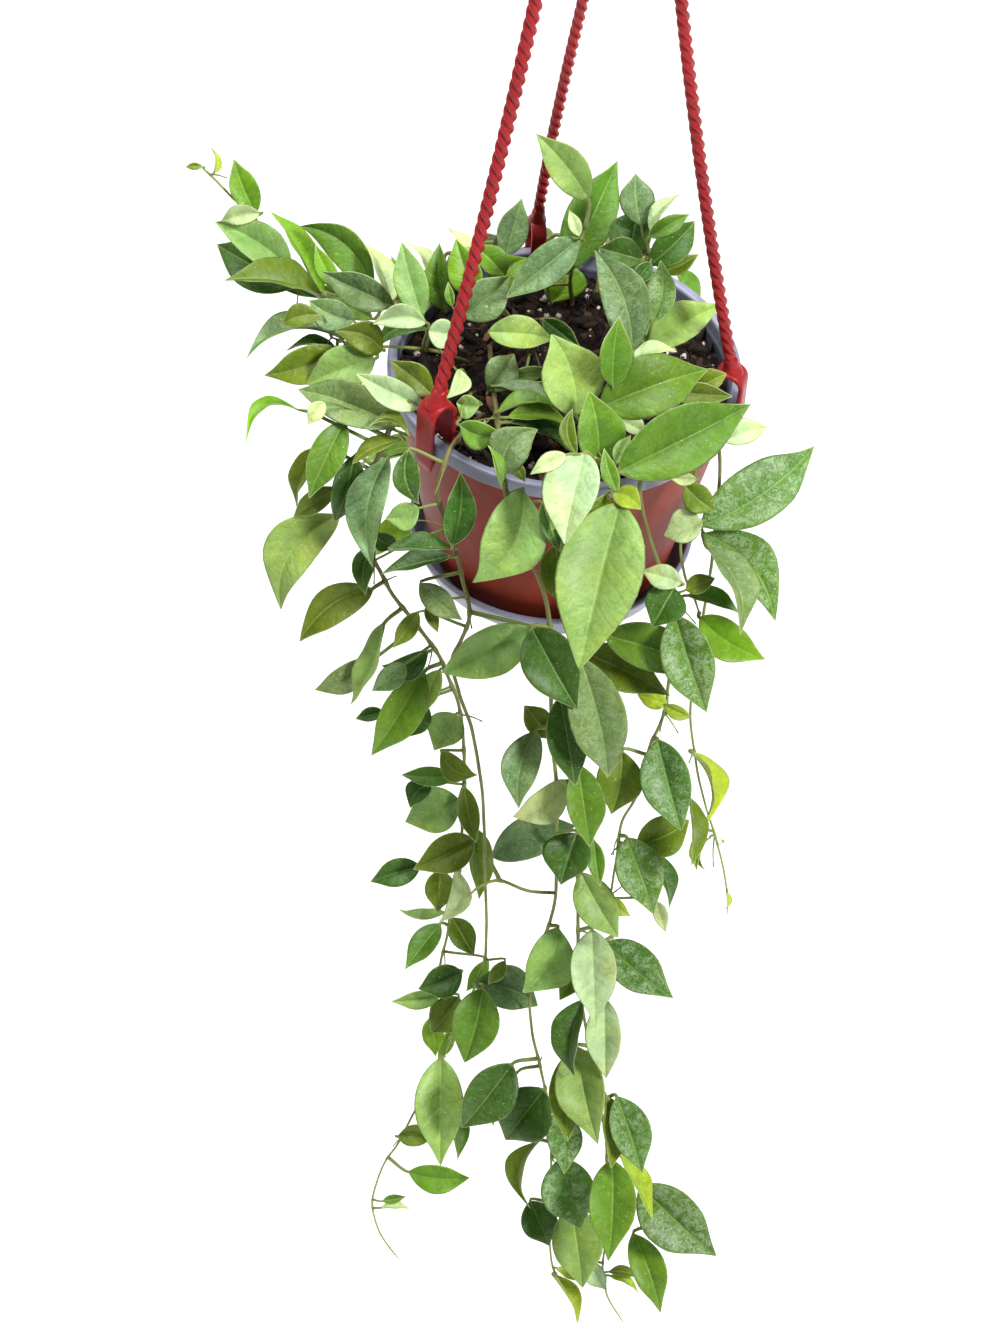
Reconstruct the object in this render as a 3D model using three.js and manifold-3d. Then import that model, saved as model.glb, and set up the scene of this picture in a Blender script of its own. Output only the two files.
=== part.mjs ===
// A hoya lacunosa in a hanging plastic pot: the pot and its drip saucer, the potting mix, a hanger of
// three twisted arms under one hook, and the plant's leafy stems, which trail over the rim.
// Millimetres, +Z up. Everything is worked out about the middle of the pot's rim, and the whole is
// then lowered, so that the origin is where the hook bears on what carries it.
import * as THREE from 'three';
import { mergeVertices } from 'three/addons/utils/BufferGeometryUtils.js';
import Module from 'manifold-3d';

const wasm = await Module();
wasm.setup();

// Driving dimensions of the pot, its saucer and the mix
const rimRadius = 75;
const rimWidth = 4.5;
const rimHeight = 7;
const wall = 1.8;
const potHeight = 105;
const baseRadius = 52;
const underRimRadius = 72.3;
const mixDepth = 12;
const gap = 0.3;
const drainHoles = 6;
const drainRadius = 4;
const drainCircle = 32;
const pegRadius = 4.6;
const pegHole = 5;
const saucerRadius = 62;
const saucerHeight = 15;
const saucerFloor = 2;

// Driving dimensions of the hanger
const arms = [{ angle: 104, swing: -10 }, { angle: 224, swing: 0 }, { angle: 348, swing: 0 }];
const armFoot = { radius: 71.6, height: 17.6 };
const armHead = { radius: 8.5, height: 385 };
const armBow = -6;
const armRadius = 3.1;
const armTwistPitch = 36;
const armRings = 62;
const clipWidth = 11;
const clip = { thick: 2.4, inside: 66.2, bend: 12.5, innerLeg: -6, outerLeg: -15, barb: 1.8 };
const knob = { low: 376, high: 396, radius: 15 };
const hookWire = 2.9;
const hookRadius = 17;
const hookCentre = 424;
const hookBearing = hookCentre + hookRadius - hookWire;

// Driving dimensions of the plant
const leafThickness = 1.4;
const petioleRadius = 1;
const petioleRoot = 0.3;
const longLeaf = 40;
const leafProportion = 0.46;
const clearOfLeaf = 5;
const clearOfStem = 4.2;
const holeRadius = 2.2;
const holeDepth = 20;
const placesBetween = 8;

// The photograph's view of the rim's middle: far off, 43 degrees above the rim and slightly rolled.
const photo = { wide: 1000, high: 1333 };
const view = { distance: 2000, elevation: 43, yaw: -0.678, pitch: 46.709, roll: 4.5, zoom: 4733 };

const degrees = Math.PI / 180;
const up = new THREE.Vector3(0, 0, 1);
const vec = (x, y, z) => new THREE.Vector3(x, y, z);

// The eye, and the directions ahead, to the right and up in the picture.
function lookFrom({ distance, elevation, yaw, pitch, roll }) {
  const e = elevation * degrees;
  const a = yaw * degrees;
  const p = pitch * degrees;
  const r = roll * degrees;
  const ahead = vec(Math.sin(a) * Math.cos(p), Math.cos(a) * Math.cos(p), -Math.sin(p));
  const level = vec(Math.cos(a), -Math.sin(a), 0);
  const upright = level.clone().cross(ahead);
  const right = level.clone().multiplyScalar(Math.cos(r)).addScaledVector(upright, Math.sin(r));
  const above = level.clone().multiplyScalar(-Math.sin(r)).addScaledVector(upright, Math.cos(r));
  return { eye: vec(0, -Math.cos(e) * distance, Math.sin(e) * distance), ahead, right, above };
}
const seen = lookFrom(view);

// The line of sight through a pixel of the photograph.
function sight(x, y) {
  return seen.ahead.clone()
    .addScaledVector(seen.right, (x - photo.wide / 2) / view.zoom)
    .addScaledVector(seen.above, -(y - photo.high / 2) / view.zoom);
}

// Where that line meets the upright plane that lies so far in front of the pot's axis.
function front(x, y, ahead) {
  const ray = sight(x, y);
  return seen.eye.clone().addScaledVector(ray, (-ahead - seen.eye.y) / ray.y);
}

// Where it meets the level plane at a height above the rim.
function level(x, y, height) {
  const ray = sight(x, y);
  return seen.eye.clone().addScaledVector(ray, (height - seen.eye.z) / ray.z);
}

// Where it meets the plane across the view at a depth from the eye.
function atDepth(x, y, depth) {
  return seen.eye.clone().addScaledVector(sight(x, y), depth);
}

function depthOf(point) {
  return point.clone().sub(seen.eye).dot(seen.ahead);
}

function pixelOf(point) {
  const from = point.clone().sub(seen.eye);
  const depth = from.dot(seen.ahead);
  return [
    photo.wide / 2 + view.zoom * from.dot(seen.right) / depth,
    photo.high / 2 - view.zoom * from.dot(seen.above) / depth,
  ];
}

// A point beside another, at an angle in the plane of two directions.
function aside(place, side, out, angle, radius) {
  return place.clone()
    .addScaledVector(side, radius * Math.cos(angle))
    .addScaledVector(out, radius * Math.sin(angle));
}

// A seeded generator of numbers from 0 to 1.
function seeded(seed) {
  let state = seed;
  return () => {
    state = (state * 48271) % 2147483647;
    return state / 2147483647;
  };
}

// Solids, from three.js geometries or from points and triangles
function solidOf(geometry) {
  const bare = geometry.index ? geometry.toNonIndexed() : geometry.clone();
  bare.deleteAttribute('normal');
  bare.deleteAttribute('uv');
  const merged = mergeVertices(bare, 1e-4);
  return new wasm.Manifold(new wasm.Mesh({
    numProp: 3,
    vertProperties: merged.attributes.position.array,
    triVerts: new Uint32Array(merged.index.array),
  }));
}

function geometryOf(solid) {
  const mesh = solid.getMesh();
  const geometry = new THREE.BufferGeometry();
  geometry.setAttribute('position', new THREE.BufferAttribute(new Float32Array(mesh.vertProperties), 3));
  geometry.setIndex(new THREE.BufferAttribute(new Uint32Array(mesh.triVerts), 1));
  return geometry;
}

function joined(solids) {
  return solids.reduce((whole, piece) => whole.add(piece));
}

// Rings of points skinned into one closed body; a last ring of one point closes it to a tip.
function skin(rings) {
  const points = rings.flat();
  const faces = [];
  const starts = [];
  rings.reduce((sum, ring) => {
    starts.push(sum);
    return sum + ring.length;
  }, 0);
  const round = rings[0].length;
  for (let k = 1; k < round - 1; k++) faces.push([0, k, k + 1]);
  for (let r = 0; r < rings.length - 1; r++) {
    const from = starts[r];
    const to = starts[r + 1];
    for (let k = 0; k < round; k++) {
      const next = (k + 1) % round;
      if (rings[r + 1].length === 1) faces.push([from + k, to, from + next]);
      else faces.push([from + k, to + k, to + next], [from + k, to + next, from + next]);
    }
  }
  const last = rings[rings.length - 1];
  const end = starts[rings.length - 1];
  for (let k = 1; k < last.length - 1; k++) faces.push([end, end + k + 1, end + k]);
  const geometry = new THREE.BufferGeometry();
  const numbers = points.flatMap((p) => p.toArray());
  geometry.setAttribute('position', new THREE.Float32BufferAttribute(numbers, 3));
  geometry.setIndex(faces.flat());
  const made = solidOf(geometry);
  if (made.volume() > 0) return made;
  geometry.setIndex(faces.map(([a, b, c]) => [a, c, b]).flat());
  return solidOf(geometry);
}

// A profile of [radius, height] turned about the axis.
function turned(profile, sides) {
  const points = profile.map(([r, z]) => new THREE.Vector2(r, z));
  return solidOf(new THREE.LatheGeometry(points, sides).rotateX(Math.PI / 2));
}

// An upright round pin or cutter.
function pin(x, y, low, high, radius, sides) {
  const shape = new THREE.CylinderGeometry(radius, radius, high - low, sides);
  return solidOf(shape.rotateX(Math.PI / 2).translate(x, y, (low + high) / 2));
}

// Radius of the pot's outer wall and of its inner one at a height.
function outerRadius(z) {
  if (z > -rimHeight) return rimRadius;
  return underRimRadius + (underRimRadius - baseRadius) * (z + rimHeight) / (potHeight - rimHeight);
}

function innerRadius(z) {
  return z > -rimHeight ? rimRadius - rimWidth : outerRadius(z) - wall;
}

// Pot: a tapered shell with a rolled rim band, holes to drain and a hole for the saucer's peg
function makePot() {
  const sides = 32;
  const shell = turned([
    [0, -potHeight], [baseRadius - 1, -potHeight], [underRimRadius, -rimHeight], [rimRadius, -rimHeight],
    [rimRadius, -1.2], [rimRadius - 1.3, 0], [rimRadius - rimWidth + 1.2, 0],
    [rimRadius - rimWidth, -1.2], [innerRadius(-rimHeight - 0.1), -rimHeight - 2],
    [baseRadius - wall - 1, -potHeight + wall], [0, -potHeight + wall],
  ], sides);
  const cutters = [pin(0, 0, -potHeight - 2, -potHeight + 4, pegHole, 10)];
  for (let k = 0; k < drainHoles; k++) {
    const angle = k * 2 * Math.PI / drainHoles;
    const x = drainCircle * Math.cos(angle);
    const y = drainCircle * Math.sin(angle);
    cutters.push(pin(x, y, -potHeight - 2, -potHeight + 4, drainRadius, 8));
  }
  return shell.subtract(joined(cutters));
}

// Drip saucer: a shallow dish whose barbed peg snaps through the pot's floor
function makeSaucer() {
  const top = -potHeight - gap;
  const floor = top - saucerFloor;
  const lip = floor + saucerHeight;
  const barb = -potHeight + wall + gap;
  return turned([
    [0, floor], [saucerRadius - 6, floor], [saucerRadius, lip], [saucerRadius - 1.9, lip],
    [saucerRadius - 7.5, top], [pegRadius, top], [pegRadius, barb], [pegRadius + 1.2, barb],
    [pegRadius - 1.4, barb + 3], [0, barb + 3],
  ], 28);
}

// Height of the mix's lumpy top: a slight mound with crumbs on it.
function mixTop(x, y) {
  const r = Math.hypot(x, y);
  const mound = 2 * Math.cos(r / 70 * Math.PI / 2);
  const lumps = 0.9 * Math.sin(x * 0.31 + 1.3) * Math.cos(y * 0.27 - 0.4);
  return -mixDepth + mound + lumps + 0.6 * Math.sin(x * 0.13 - y * 0.17);
}

// Potting mix: fills the pot, with plain holes where stems stand and room for the saucer's peg
function makeMix(roots) {
  const sides = 24;
  const bottom = -potHeight + wall + gap;
  const edge = innerRadius(-mixDepth) - 0.9;
  const rings = [edge, 48, 24];
  const geometry = new THREE.LatheGeometry([
    [0, bottom + 4.4], [pegRadius + 2, bottom + 4.4], [pegRadius + 2, bottom],
    [baseRadius - wall - 3.2, bottom], [baseRadius - wall - 0.9, bottom + 4],
    ...rings.map((r) => [r, -mixDepth]), [0, -mixDepth],
  ].map(([r, z]) => new THREE.Vector2(r, z)), sides).rotateX(Math.PI / 2);
  const place = geometry.attributes.position;
  for (let k = 0; k < place.count; k++) {
    if (place.getZ(k) > -mixDepth - 1) place.setZ(k, mixTop(place.getX(k), place.getY(k)));
  }
  const holes = roots.map((p) => pin(p.x, p.y, mixTop(p.x, p.y) - holeDepth - 2, 5, holeRadius, 5));
  return solidOf(geometry).subtract(joined(holes));
}

// A point of a hanger arm's middle line, from 0 at the clip to 1 at the knob. An arm bows inwards and
// may swing aside in its upper half; armLine has it along +X, and armPoint turns it to its place.
function armLine(arm, t) {
  const r = armFoot.radius + (armHead.radius - armFoot.radius) * t + armBow * 4 * t * (1 - t);
  const z = armFoot.height + (armHead.height - armFoot.height) * t;
  return vec(r, arm.swing * Math.sin(Math.PI * t * t), z);
}

function armPoint(arm, t) {
  return armLine(arm, t).applyAxisAngle(up, arm.angle * degrees);
}

// Clip: a band bent over the rim, wide enough to see through, and barbed under the rim's band
function makeClip() {
  const outline = new THREE.Shape();
  const outside = rimRadius + gap;
  const middle = (clip.inside + outside) / 2;
  const reach = (outside - clip.inside) / 2;
  outline.moveTo(clip.inside - clip.thick, clip.innerLeg);
  outline.lineTo(clip.inside - clip.thick, clip.bend);
  outline.absarc(middle, clip.bend, reach + clip.thick, Math.PI, 0, true);
  outline.lineTo(outside + clip.thick, clip.outerLeg + 4);
  outline.lineTo(outside + clip.thick / 2, clip.outerLeg);
  outline.lineTo(outside, clip.outerLeg);
  outline.lineTo(outside - clip.barb, -rimHeight - gap - 1);
  outline.lineTo(outside - clip.barb, -rimHeight - gap);
  outline.lineTo(outside, -rimHeight - gap);
  outline.lineTo(outside, clip.bend);
  outline.absarc(middle, clip.bend, reach, 0, Math.PI, false);
  outline.lineTo(clip.inside, clip.innerLeg);
  const cut = { depth: clipWidth, bevelEnabled: false, curveSegments: 5 };
  const band = new THREE.ExtrudeGeometry(outline, cut);
  return solidOf(band.translate(0, 0, -clipWidth / 2).rotateX(Math.PI / 2));
}

// Hanger arm along +X: a three-cornered bar, twisted, with a boss where it leaves its clip
function makeArm(arm) {
  const across = vec(0, 1, 0);
  const rings = [];
  for (let k = 0; k <= armRings; k++) {
    const t = k / armRings;
    const before = armLine(arm, Math.max(0, t - 0.01));
    const along = armLine(arm, Math.min(1, t + 0.01)).sub(before).normalize();
    const out = across.clone().cross(along).normalize();
    const side = along.clone().cross(out);
    const turn = t * (armHead.height - armFoot.height) / armTwistPitch * 2 * Math.PI;
    rings.push([0, 1, 2].map((corner) => {
      return aside(armLine(arm, t), side, out, turn + corner * 2 * Math.PI / 3, armRadius);
    }));
  }
  const boss = pin(armFoot.radius, 0, armFoot.height - 0.3, armFoot.height + 6, 3.9, 8);
  return joined([makeClip(), skin(rings), boss]);
}

// Hook: a knob that the three arms snap into, and the hook above it
function makeHook() {
  const { low, high, radius } = knob;
  const body = turned([
    [0, low], [radius - 4, low], [radius, low + 5], [radius, high - 7], [radius - 5, high - 1],
    [4, high + 2], [0, high + 2],
  ], 16);
  const sockets = arms.map((arm) => {
    const end = armPoint(arm, 1);
    const back = armPoint(arm, 0.97);
    const along = end.clone().sub(back).normalize();
    const cutter = new THREE.CylinderGeometry(armRadius + 0.6, armRadius + 0.6, 40, 8);
    const turn = new THREE.Quaternion().setFromUnitVectors(vec(0, 1, 0), along);
    const middle = end.clone().addScaledVector(along, 0.6 - 20);
    return solidOf(cutter.applyQuaternion(turn).translate(middle.x, middle.y, middle.z));
  });
  const route = [vec(0, 0, high - 4), vec(0, 0, high + 3)];
  for (let a = -60; a <= 205; a += 26.5) {
    route.push(vec(hookRadius * Math.cos(a * degrees), 0, hookCentre + hookRadius * Math.sin(a * degrees)));
  }
  const wire = new THREE.ExtrudeGeometry(
    new THREE.Shape().absarc(0, 0, hookWire, 0, 2 * Math.PI, false),
    { steps: 22, bevelEnabled: false, curveSegments: 4, extrudePath: new THREE.CatmullRomCurve3(route) },
  );
  return body.subtract(joined(sockets)).add(solidOf(wire));
}

// Places along a stem's line, so many between each two of its points.
function placesOn(points, pieces) {
  const line = [];
  for (let k = 0; k < points.length - 1; k++) {
    for (let s = 0; s < pieces; s++) line.push(points[k].clone().lerp(points[k + 1], s / pieces));
  }
  line.push(points[points.length - 1].clone());
  return line;
}

// Stem: a three-sided tapered tube along its line. Rooted ones start upright in a hole in the mix.
function makeStem({ points, thick, thin, rooted }) {
  const line = [...points];
  if (rooted) {
    const foot = points[0];
    line.unshift(vec(foot.x, foot.y, mixTop(foot.x, foot.y) - holeDepth));
  }
  const rings = line.map((place, k) => {
    const before = line[Math.max(0, k - 1)];
    const after = line[Math.min(line.length - 1, k + 1)];
    const along = after.clone().sub(before).normalize();
    if (rooted && k <= 1) along.set(0, 0, 1);
    const side = along.clone().cross(seen.ahead).normalize();
    const out = side.clone().cross(along);
    const radius = 1.15 * (thick / 2 + (thin - thick) / 2 * k / (line.length - 1));
    return [0, 1, 2].map((corner) => {
      return aside(place, side, out, corner * 2 * Math.PI / 3, radius);
    });
  });
  return skin(rings);
}

// Half width of a blade along its length, from 0 at its base to 1 at its tip: broadest before the
// middle, with a drawn-out point.
function bladeWidth(u) {
  return Math.pow(u, 0.72) * Math.pow(1 - u, 0.95) / 0.3193;
}

// A point of a leaf's middle surface: its midrib arches, its sides rise, and it twists on its midrib.
function bladePoint(leaf, u, v) {
  const hump = 4 * u * (1 - u) * leaf.length;
  const half = leaf.half * bladeWidth(u) * v;
  const turn = leaf.twist * (u - 0.3);
  const middle = leaf.base.clone()
    .addScaledVector(leaf.along, leaf.length * u)
    .addScaledVector(leaf.normal, hump * leaf.arch + Math.abs(half) * leaf.cup)
    .addScaledVector(leaf.side, hump * leaf.bend);
  return aside(middle, leaf.side, leaf.normal, turn, half);
}

// Leaf: a petiole rooted in the stem's middle and a blade with a keel, as rings of right edge, left
// edge and keel. The petiole's rings are the blade's own, turned the least way to face along it.
function makeLeaf(leaf) {
  const toBase = leaf.base.clone().sub(leaf.root).normalize();
  const between = toBase.clone().add(leaf.along).normalize();
  const ringAt = (place, facing, size) => {
    const turn = new THREE.Quaternion().setFromUnitVectors(leaf.along, facing);
    const across = leaf.side.clone().applyQuaternion(turn).multiplyScalar(size);
    const over = leaf.normal.clone().applyQuaternion(turn).multiplyScalar(size);
    return [
      place.clone().add(across).addScaledVector(over, 0.5),
      place.clone().sub(across).addScaledVector(over, 0.5),
      place.clone().sub(over),
    ];
  };
  const rings = [
    ringAt(leaf.root, toBase, petioleRoot),
    ringAt(bladePoint(leaf, 0.015, 0), between, petioleRadius),
  ];
  for (const u of leaf.length > longLeaf ? [0.18, 0.45, 0.75] : [0.24, 0.62]) {
    const keel = bladePoint(leaf, u, 0).addScaledVector(leaf.normal, -leafThickness / 2);
    rings.push([bladePoint(leaf, u, 1), bladePoint(leaf, u, -1), keel]);
  }
  rings.push([bladePoint(leaf, 1, 0)]);
  return skin(rings);
}

// Settling: a leaf slides along the line of sight, and leans, until its points are clear of what is
// already there
const slides = [0, 6, -6, 12, -12, 18, -18, 24, -24, 30];
const leans = [0, 0.22, -0.22];
const beforeStem = 4;
const bladePlaces = 40;
const nearRoot = 10;
const clearOfOwn = 3.2;
const costs = { pot: 12, leaf: 40, stem: 15, hanger: 30, own: 1 };
const taken = [];

function crowd(points, reach, owner, cost) {
  const middle = points.reduce((sum, p) => sum.add(p), vec(0, 0, 0)).divideScalar(points.length);
  const radius = Math.max(...points.map((p) => p.distanceTo(middle)));
  taken.push({ points, middle, radius, reach, owner, cost });
}

function leafPoints(leaf) {
  const points = [];
  for (let i = 0; i < 8; i++) {
    for (let j = 0; j < 5; j++) points.push(bladePoint(leaf, 0.08 + 0.125 * i, -1 + 0.5 * j));
  }
  points.push(leaf.root.clone().lerp(leaf.base, 0.45), leaf.root.clone().lerp(leaf.base, 0.8));
  return points;
}

// Whether a point is inside the pot's wall, the mix or the saucer, or too near them.
function inPot(p) {
  const r = Math.hypot(p.x, p.y);
  if (p.z > 3 || p.z < -potHeight - 20) return false;
  if (p.z < -potHeight + 18) return r < saucerRadius + 3;
  if (r > outerRadius(p.z) + 2.8) return false;
  return !(r < innerRadius(p.z) - 2.5 && p.z > mixTop(p.x, p.y) + 2.2);
}

function trouble(leaf, owner) {
  const points = leafPoints(leaf);
  let total = 0;
  for (const p of points) {
    if (inPot(p)) total += costs.pot;
  }
  const middle = bladePoint(leaf, 0.45, 0);
  const size = leaf.length * 0.62 + leaf.root.distanceTo(leaf.base);
  for (const other of taken) {
    if (other.middle.distanceTo(middle) > other.radius + size + 6) continue;
    const own = other.owner === owner;
    const start = own && other.stem ? nearRoot : 0;
    const limit = own ? Math.min(other.reach, clearOfOwn) : other.reach;
    let touching = false;
    for (let k = start; k < points.length && !touching; k++) {
      if (own && k >= bladePlaces) break;
      for (const q of other.points) {
        if (points[k].distanceToSquared(q) < limit * limit) {
          touching = true;
          break;
        }
      }
    }
    if (touching) total += own ? costs.own : other.cost;
  }
  return total;
}

// A leaf from how it shows in the photograph: its blade's base and tip, its breadth across the view,
// how far its midrib bows aside in hundredths of its length and, where given, how far its tip comes
// forward.
function leafAsSeen(row, stems, random, owner) {
  const [baseX, baseY, tipX, tipY, wide, bow, lean = null] = row;
  let root = null;
  let nearest = Infinity;
  for (const stem of stems) {
    for (const place of stem.fine.slice(0, -1)) {
      const [x, y] = pixelOf(place);
      const away = Math.hypot(x - baseX, y - baseY);
      if (away < nearest) {
        nearest = away;
        root = place;
      }
    }
  }
  const draws = [random(), random(), random(), random(), random()];
  const depth = depthOf(root);
  const tall = Math.hypot(tipX - baseX, tipY - baseY);
  let best = null;
  for (const slide of slides) {
    for (const extra of leans) {
      const base = atDepth(baseX, baseY, depth - beforeStem - slide);
      const reach = atDepth(tipX, tipY, depth - beforeStem - slide);
      const flat = reach.distanceTo(base);
      const forward = (lean === null ? (draws[0] - 0.4) * 0.35 * flat : lean) + extra * flat;
      const tip = reach.addScaledVector(seen.ahead, -forward);
      const leaf = shapeLeaf(root, base, tip, wide / tall, flat, bow / 100, draws);
      const found = trouble(leaf, owner);
      if (best === null || found < best.found) best = { leaf, found };
      if (found === 0) break;
    }
    if (best.found === 0) break;
  }
  crowd(leafPoints(best.leaf).slice(0, bladePlaces), clearOfLeaf, owner, costs.leaf);
  return best.leaf;
}

// The leaf's own directions. A blade that looks narrow is a common one turned on its midrib, with
// its upper face kept upwards.
function shapeLeaf(root, base, tip, ratio, flat, bow, draws) {
  const along = tip.clone().sub(base);
  const length = along.length();
  along.normalize();
  let side = along.clone().cross(seen.ahead).normalize();
  let normal = side.clone().cross(along).normalize();
  if (normal.dot(seen.ahead) > 0) normal.negate();
  side = along.clone().cross(normal);
  let turn = (draws[1] - 0.5) * 0.5;
  let half = ratio * flat / 2;
  if (ratio < 0.36) {
    const lifted = Math.acos(Math.max(0.34, ratio / leafProportion));
    const risen = side.z > 0 ? 1 : -1;
    turn = lifted * risen;
    half = leafProportion * flat / 2;
  }
  const turnedNormal = normal.clone().multiplyScalar(Math.cos(turn)).addScaledVector(side, Math.sin(turn));
  const turnedSide = along.clone().cross(turnedNormal);
  return {
    root, base, along, length, half,
    normal: turnedNormal, side: turnedSide,
    arch: 0.02 + draws[2] * 0.09, cup: 0.12 + draws[3] * 0.3,
    bend: bow / Math.cos(turn), twist: (draws[2] - draws[3]) * 0.7,
  };
}

// A hanging stem that the photograph doesn't show, with its leaves in pairs down its length.
function trailing({ azimuth, drop, seed, start = 56 }) {
  const random = seeded(seed);
  const sway = () => (random() - 0.5) * 12;
  const place = (r, z, shift = 0) => {
    const a = azimuth * degrees;
    return vec(r * Math.cos(a) - shift * Math.sin(a), r * Math.sin(a) + shift * Math.cos(a), z);
  };
  const lean = sway();
  const foot = place(start, 0);
  const points = [
    foot.setZ(mixTop(foot.x, foot.y) + 2), place(62, 0), place(71, 6.5), place(80, 4),
    place(85, -12, lean * 0.3),
  ];
  for (let z = -40; z > -drop; z -= 38) points.push(place(84 + sway() * 0.4, z, lean + sway() * 0.6));
  return points;
}

// Leaves in pairs down a hidden vine. The first ones, beside the rim, hang down steeply.
const besideRim = [20, 46];
const steepDrops = [2.6, 3.4, 1.9];
const commonDrops = [0.75, 0.35, 1.3, 0, 2];

function trailingLeaves(stem, azimuth, seed, owner, spacing = 38) {
  const random = seeded(seed + 7);
  const leaves = [];
  const line = stem.fine;
  let run = 0;
  let pair = 0;
  for (let k = 1; k < line.length; k++) {
    run += line[k].distanceTo(line[k - 1]);
    if (run < spacing || k < besideRim[0]) continue;
    run = 0;
    pair += 1;
    const fall = line[Math.min(k + 1, line.length - 1)].clone().sub(line[k - 1]).normalize();
    for (const way of [-1, 1]) {
      const draws = [random(), random(), random(), random(), random()];
      const turn = azimuth + way * (pair % 2 ? 62 : 22) + (draws[0] - 0.5) * 34;
      const out = vec(Math.cos(turn * degrees), Math.sin(turn * degrees), 0);
      const length = (46 - 14 * k / line.length) * (0.82 + 0.36 * draws[1]);
      let best = null;
      for (const drop of k < besideRim[1] ? steepDrops : commonDrops) {
        for (const swing of [0, 24, -24, 48, -48]) {
          const facing = out.clone().applyAxisAngle(up, swing * degrees);
          const base = line[k].clone().addScaledVector(facing, 8).addScaledVector(fall, 3);
          const along = facing.clone().addScaledVector(up, -drop).normalize();
          const side = along.clone().cross(up).normalize();
          const normal = side.clone().cross(along);
          const leaf = {
            root: line[k], base, along, length, half: length * leafProportion / 2, normal,
            side: along.clone().cross(normal), arch: 0.03 + draws[2] * 0.08, cup: 0.12 + draws[3] * 0.3,
            bend: (draws[4] - 0.5) * 0.1, twist: (draws[2] - draws[3]) * 0.7,
          };
          const found = trouble(leaf, owner);
          if (best === null || found < best.found) best = { leaf, found };
          if (found === 0) break;
        }
        if (best.found === 0) break;
      }
      if (best.found < 12) {
        crowd(leafPoints(best.leaf).slice(0, bladePlaces), clearOfLeaf, owner, costs.leaf);
        leaves.push(best.leaf);
      }
    }
  }
  return leaves;
}

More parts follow.
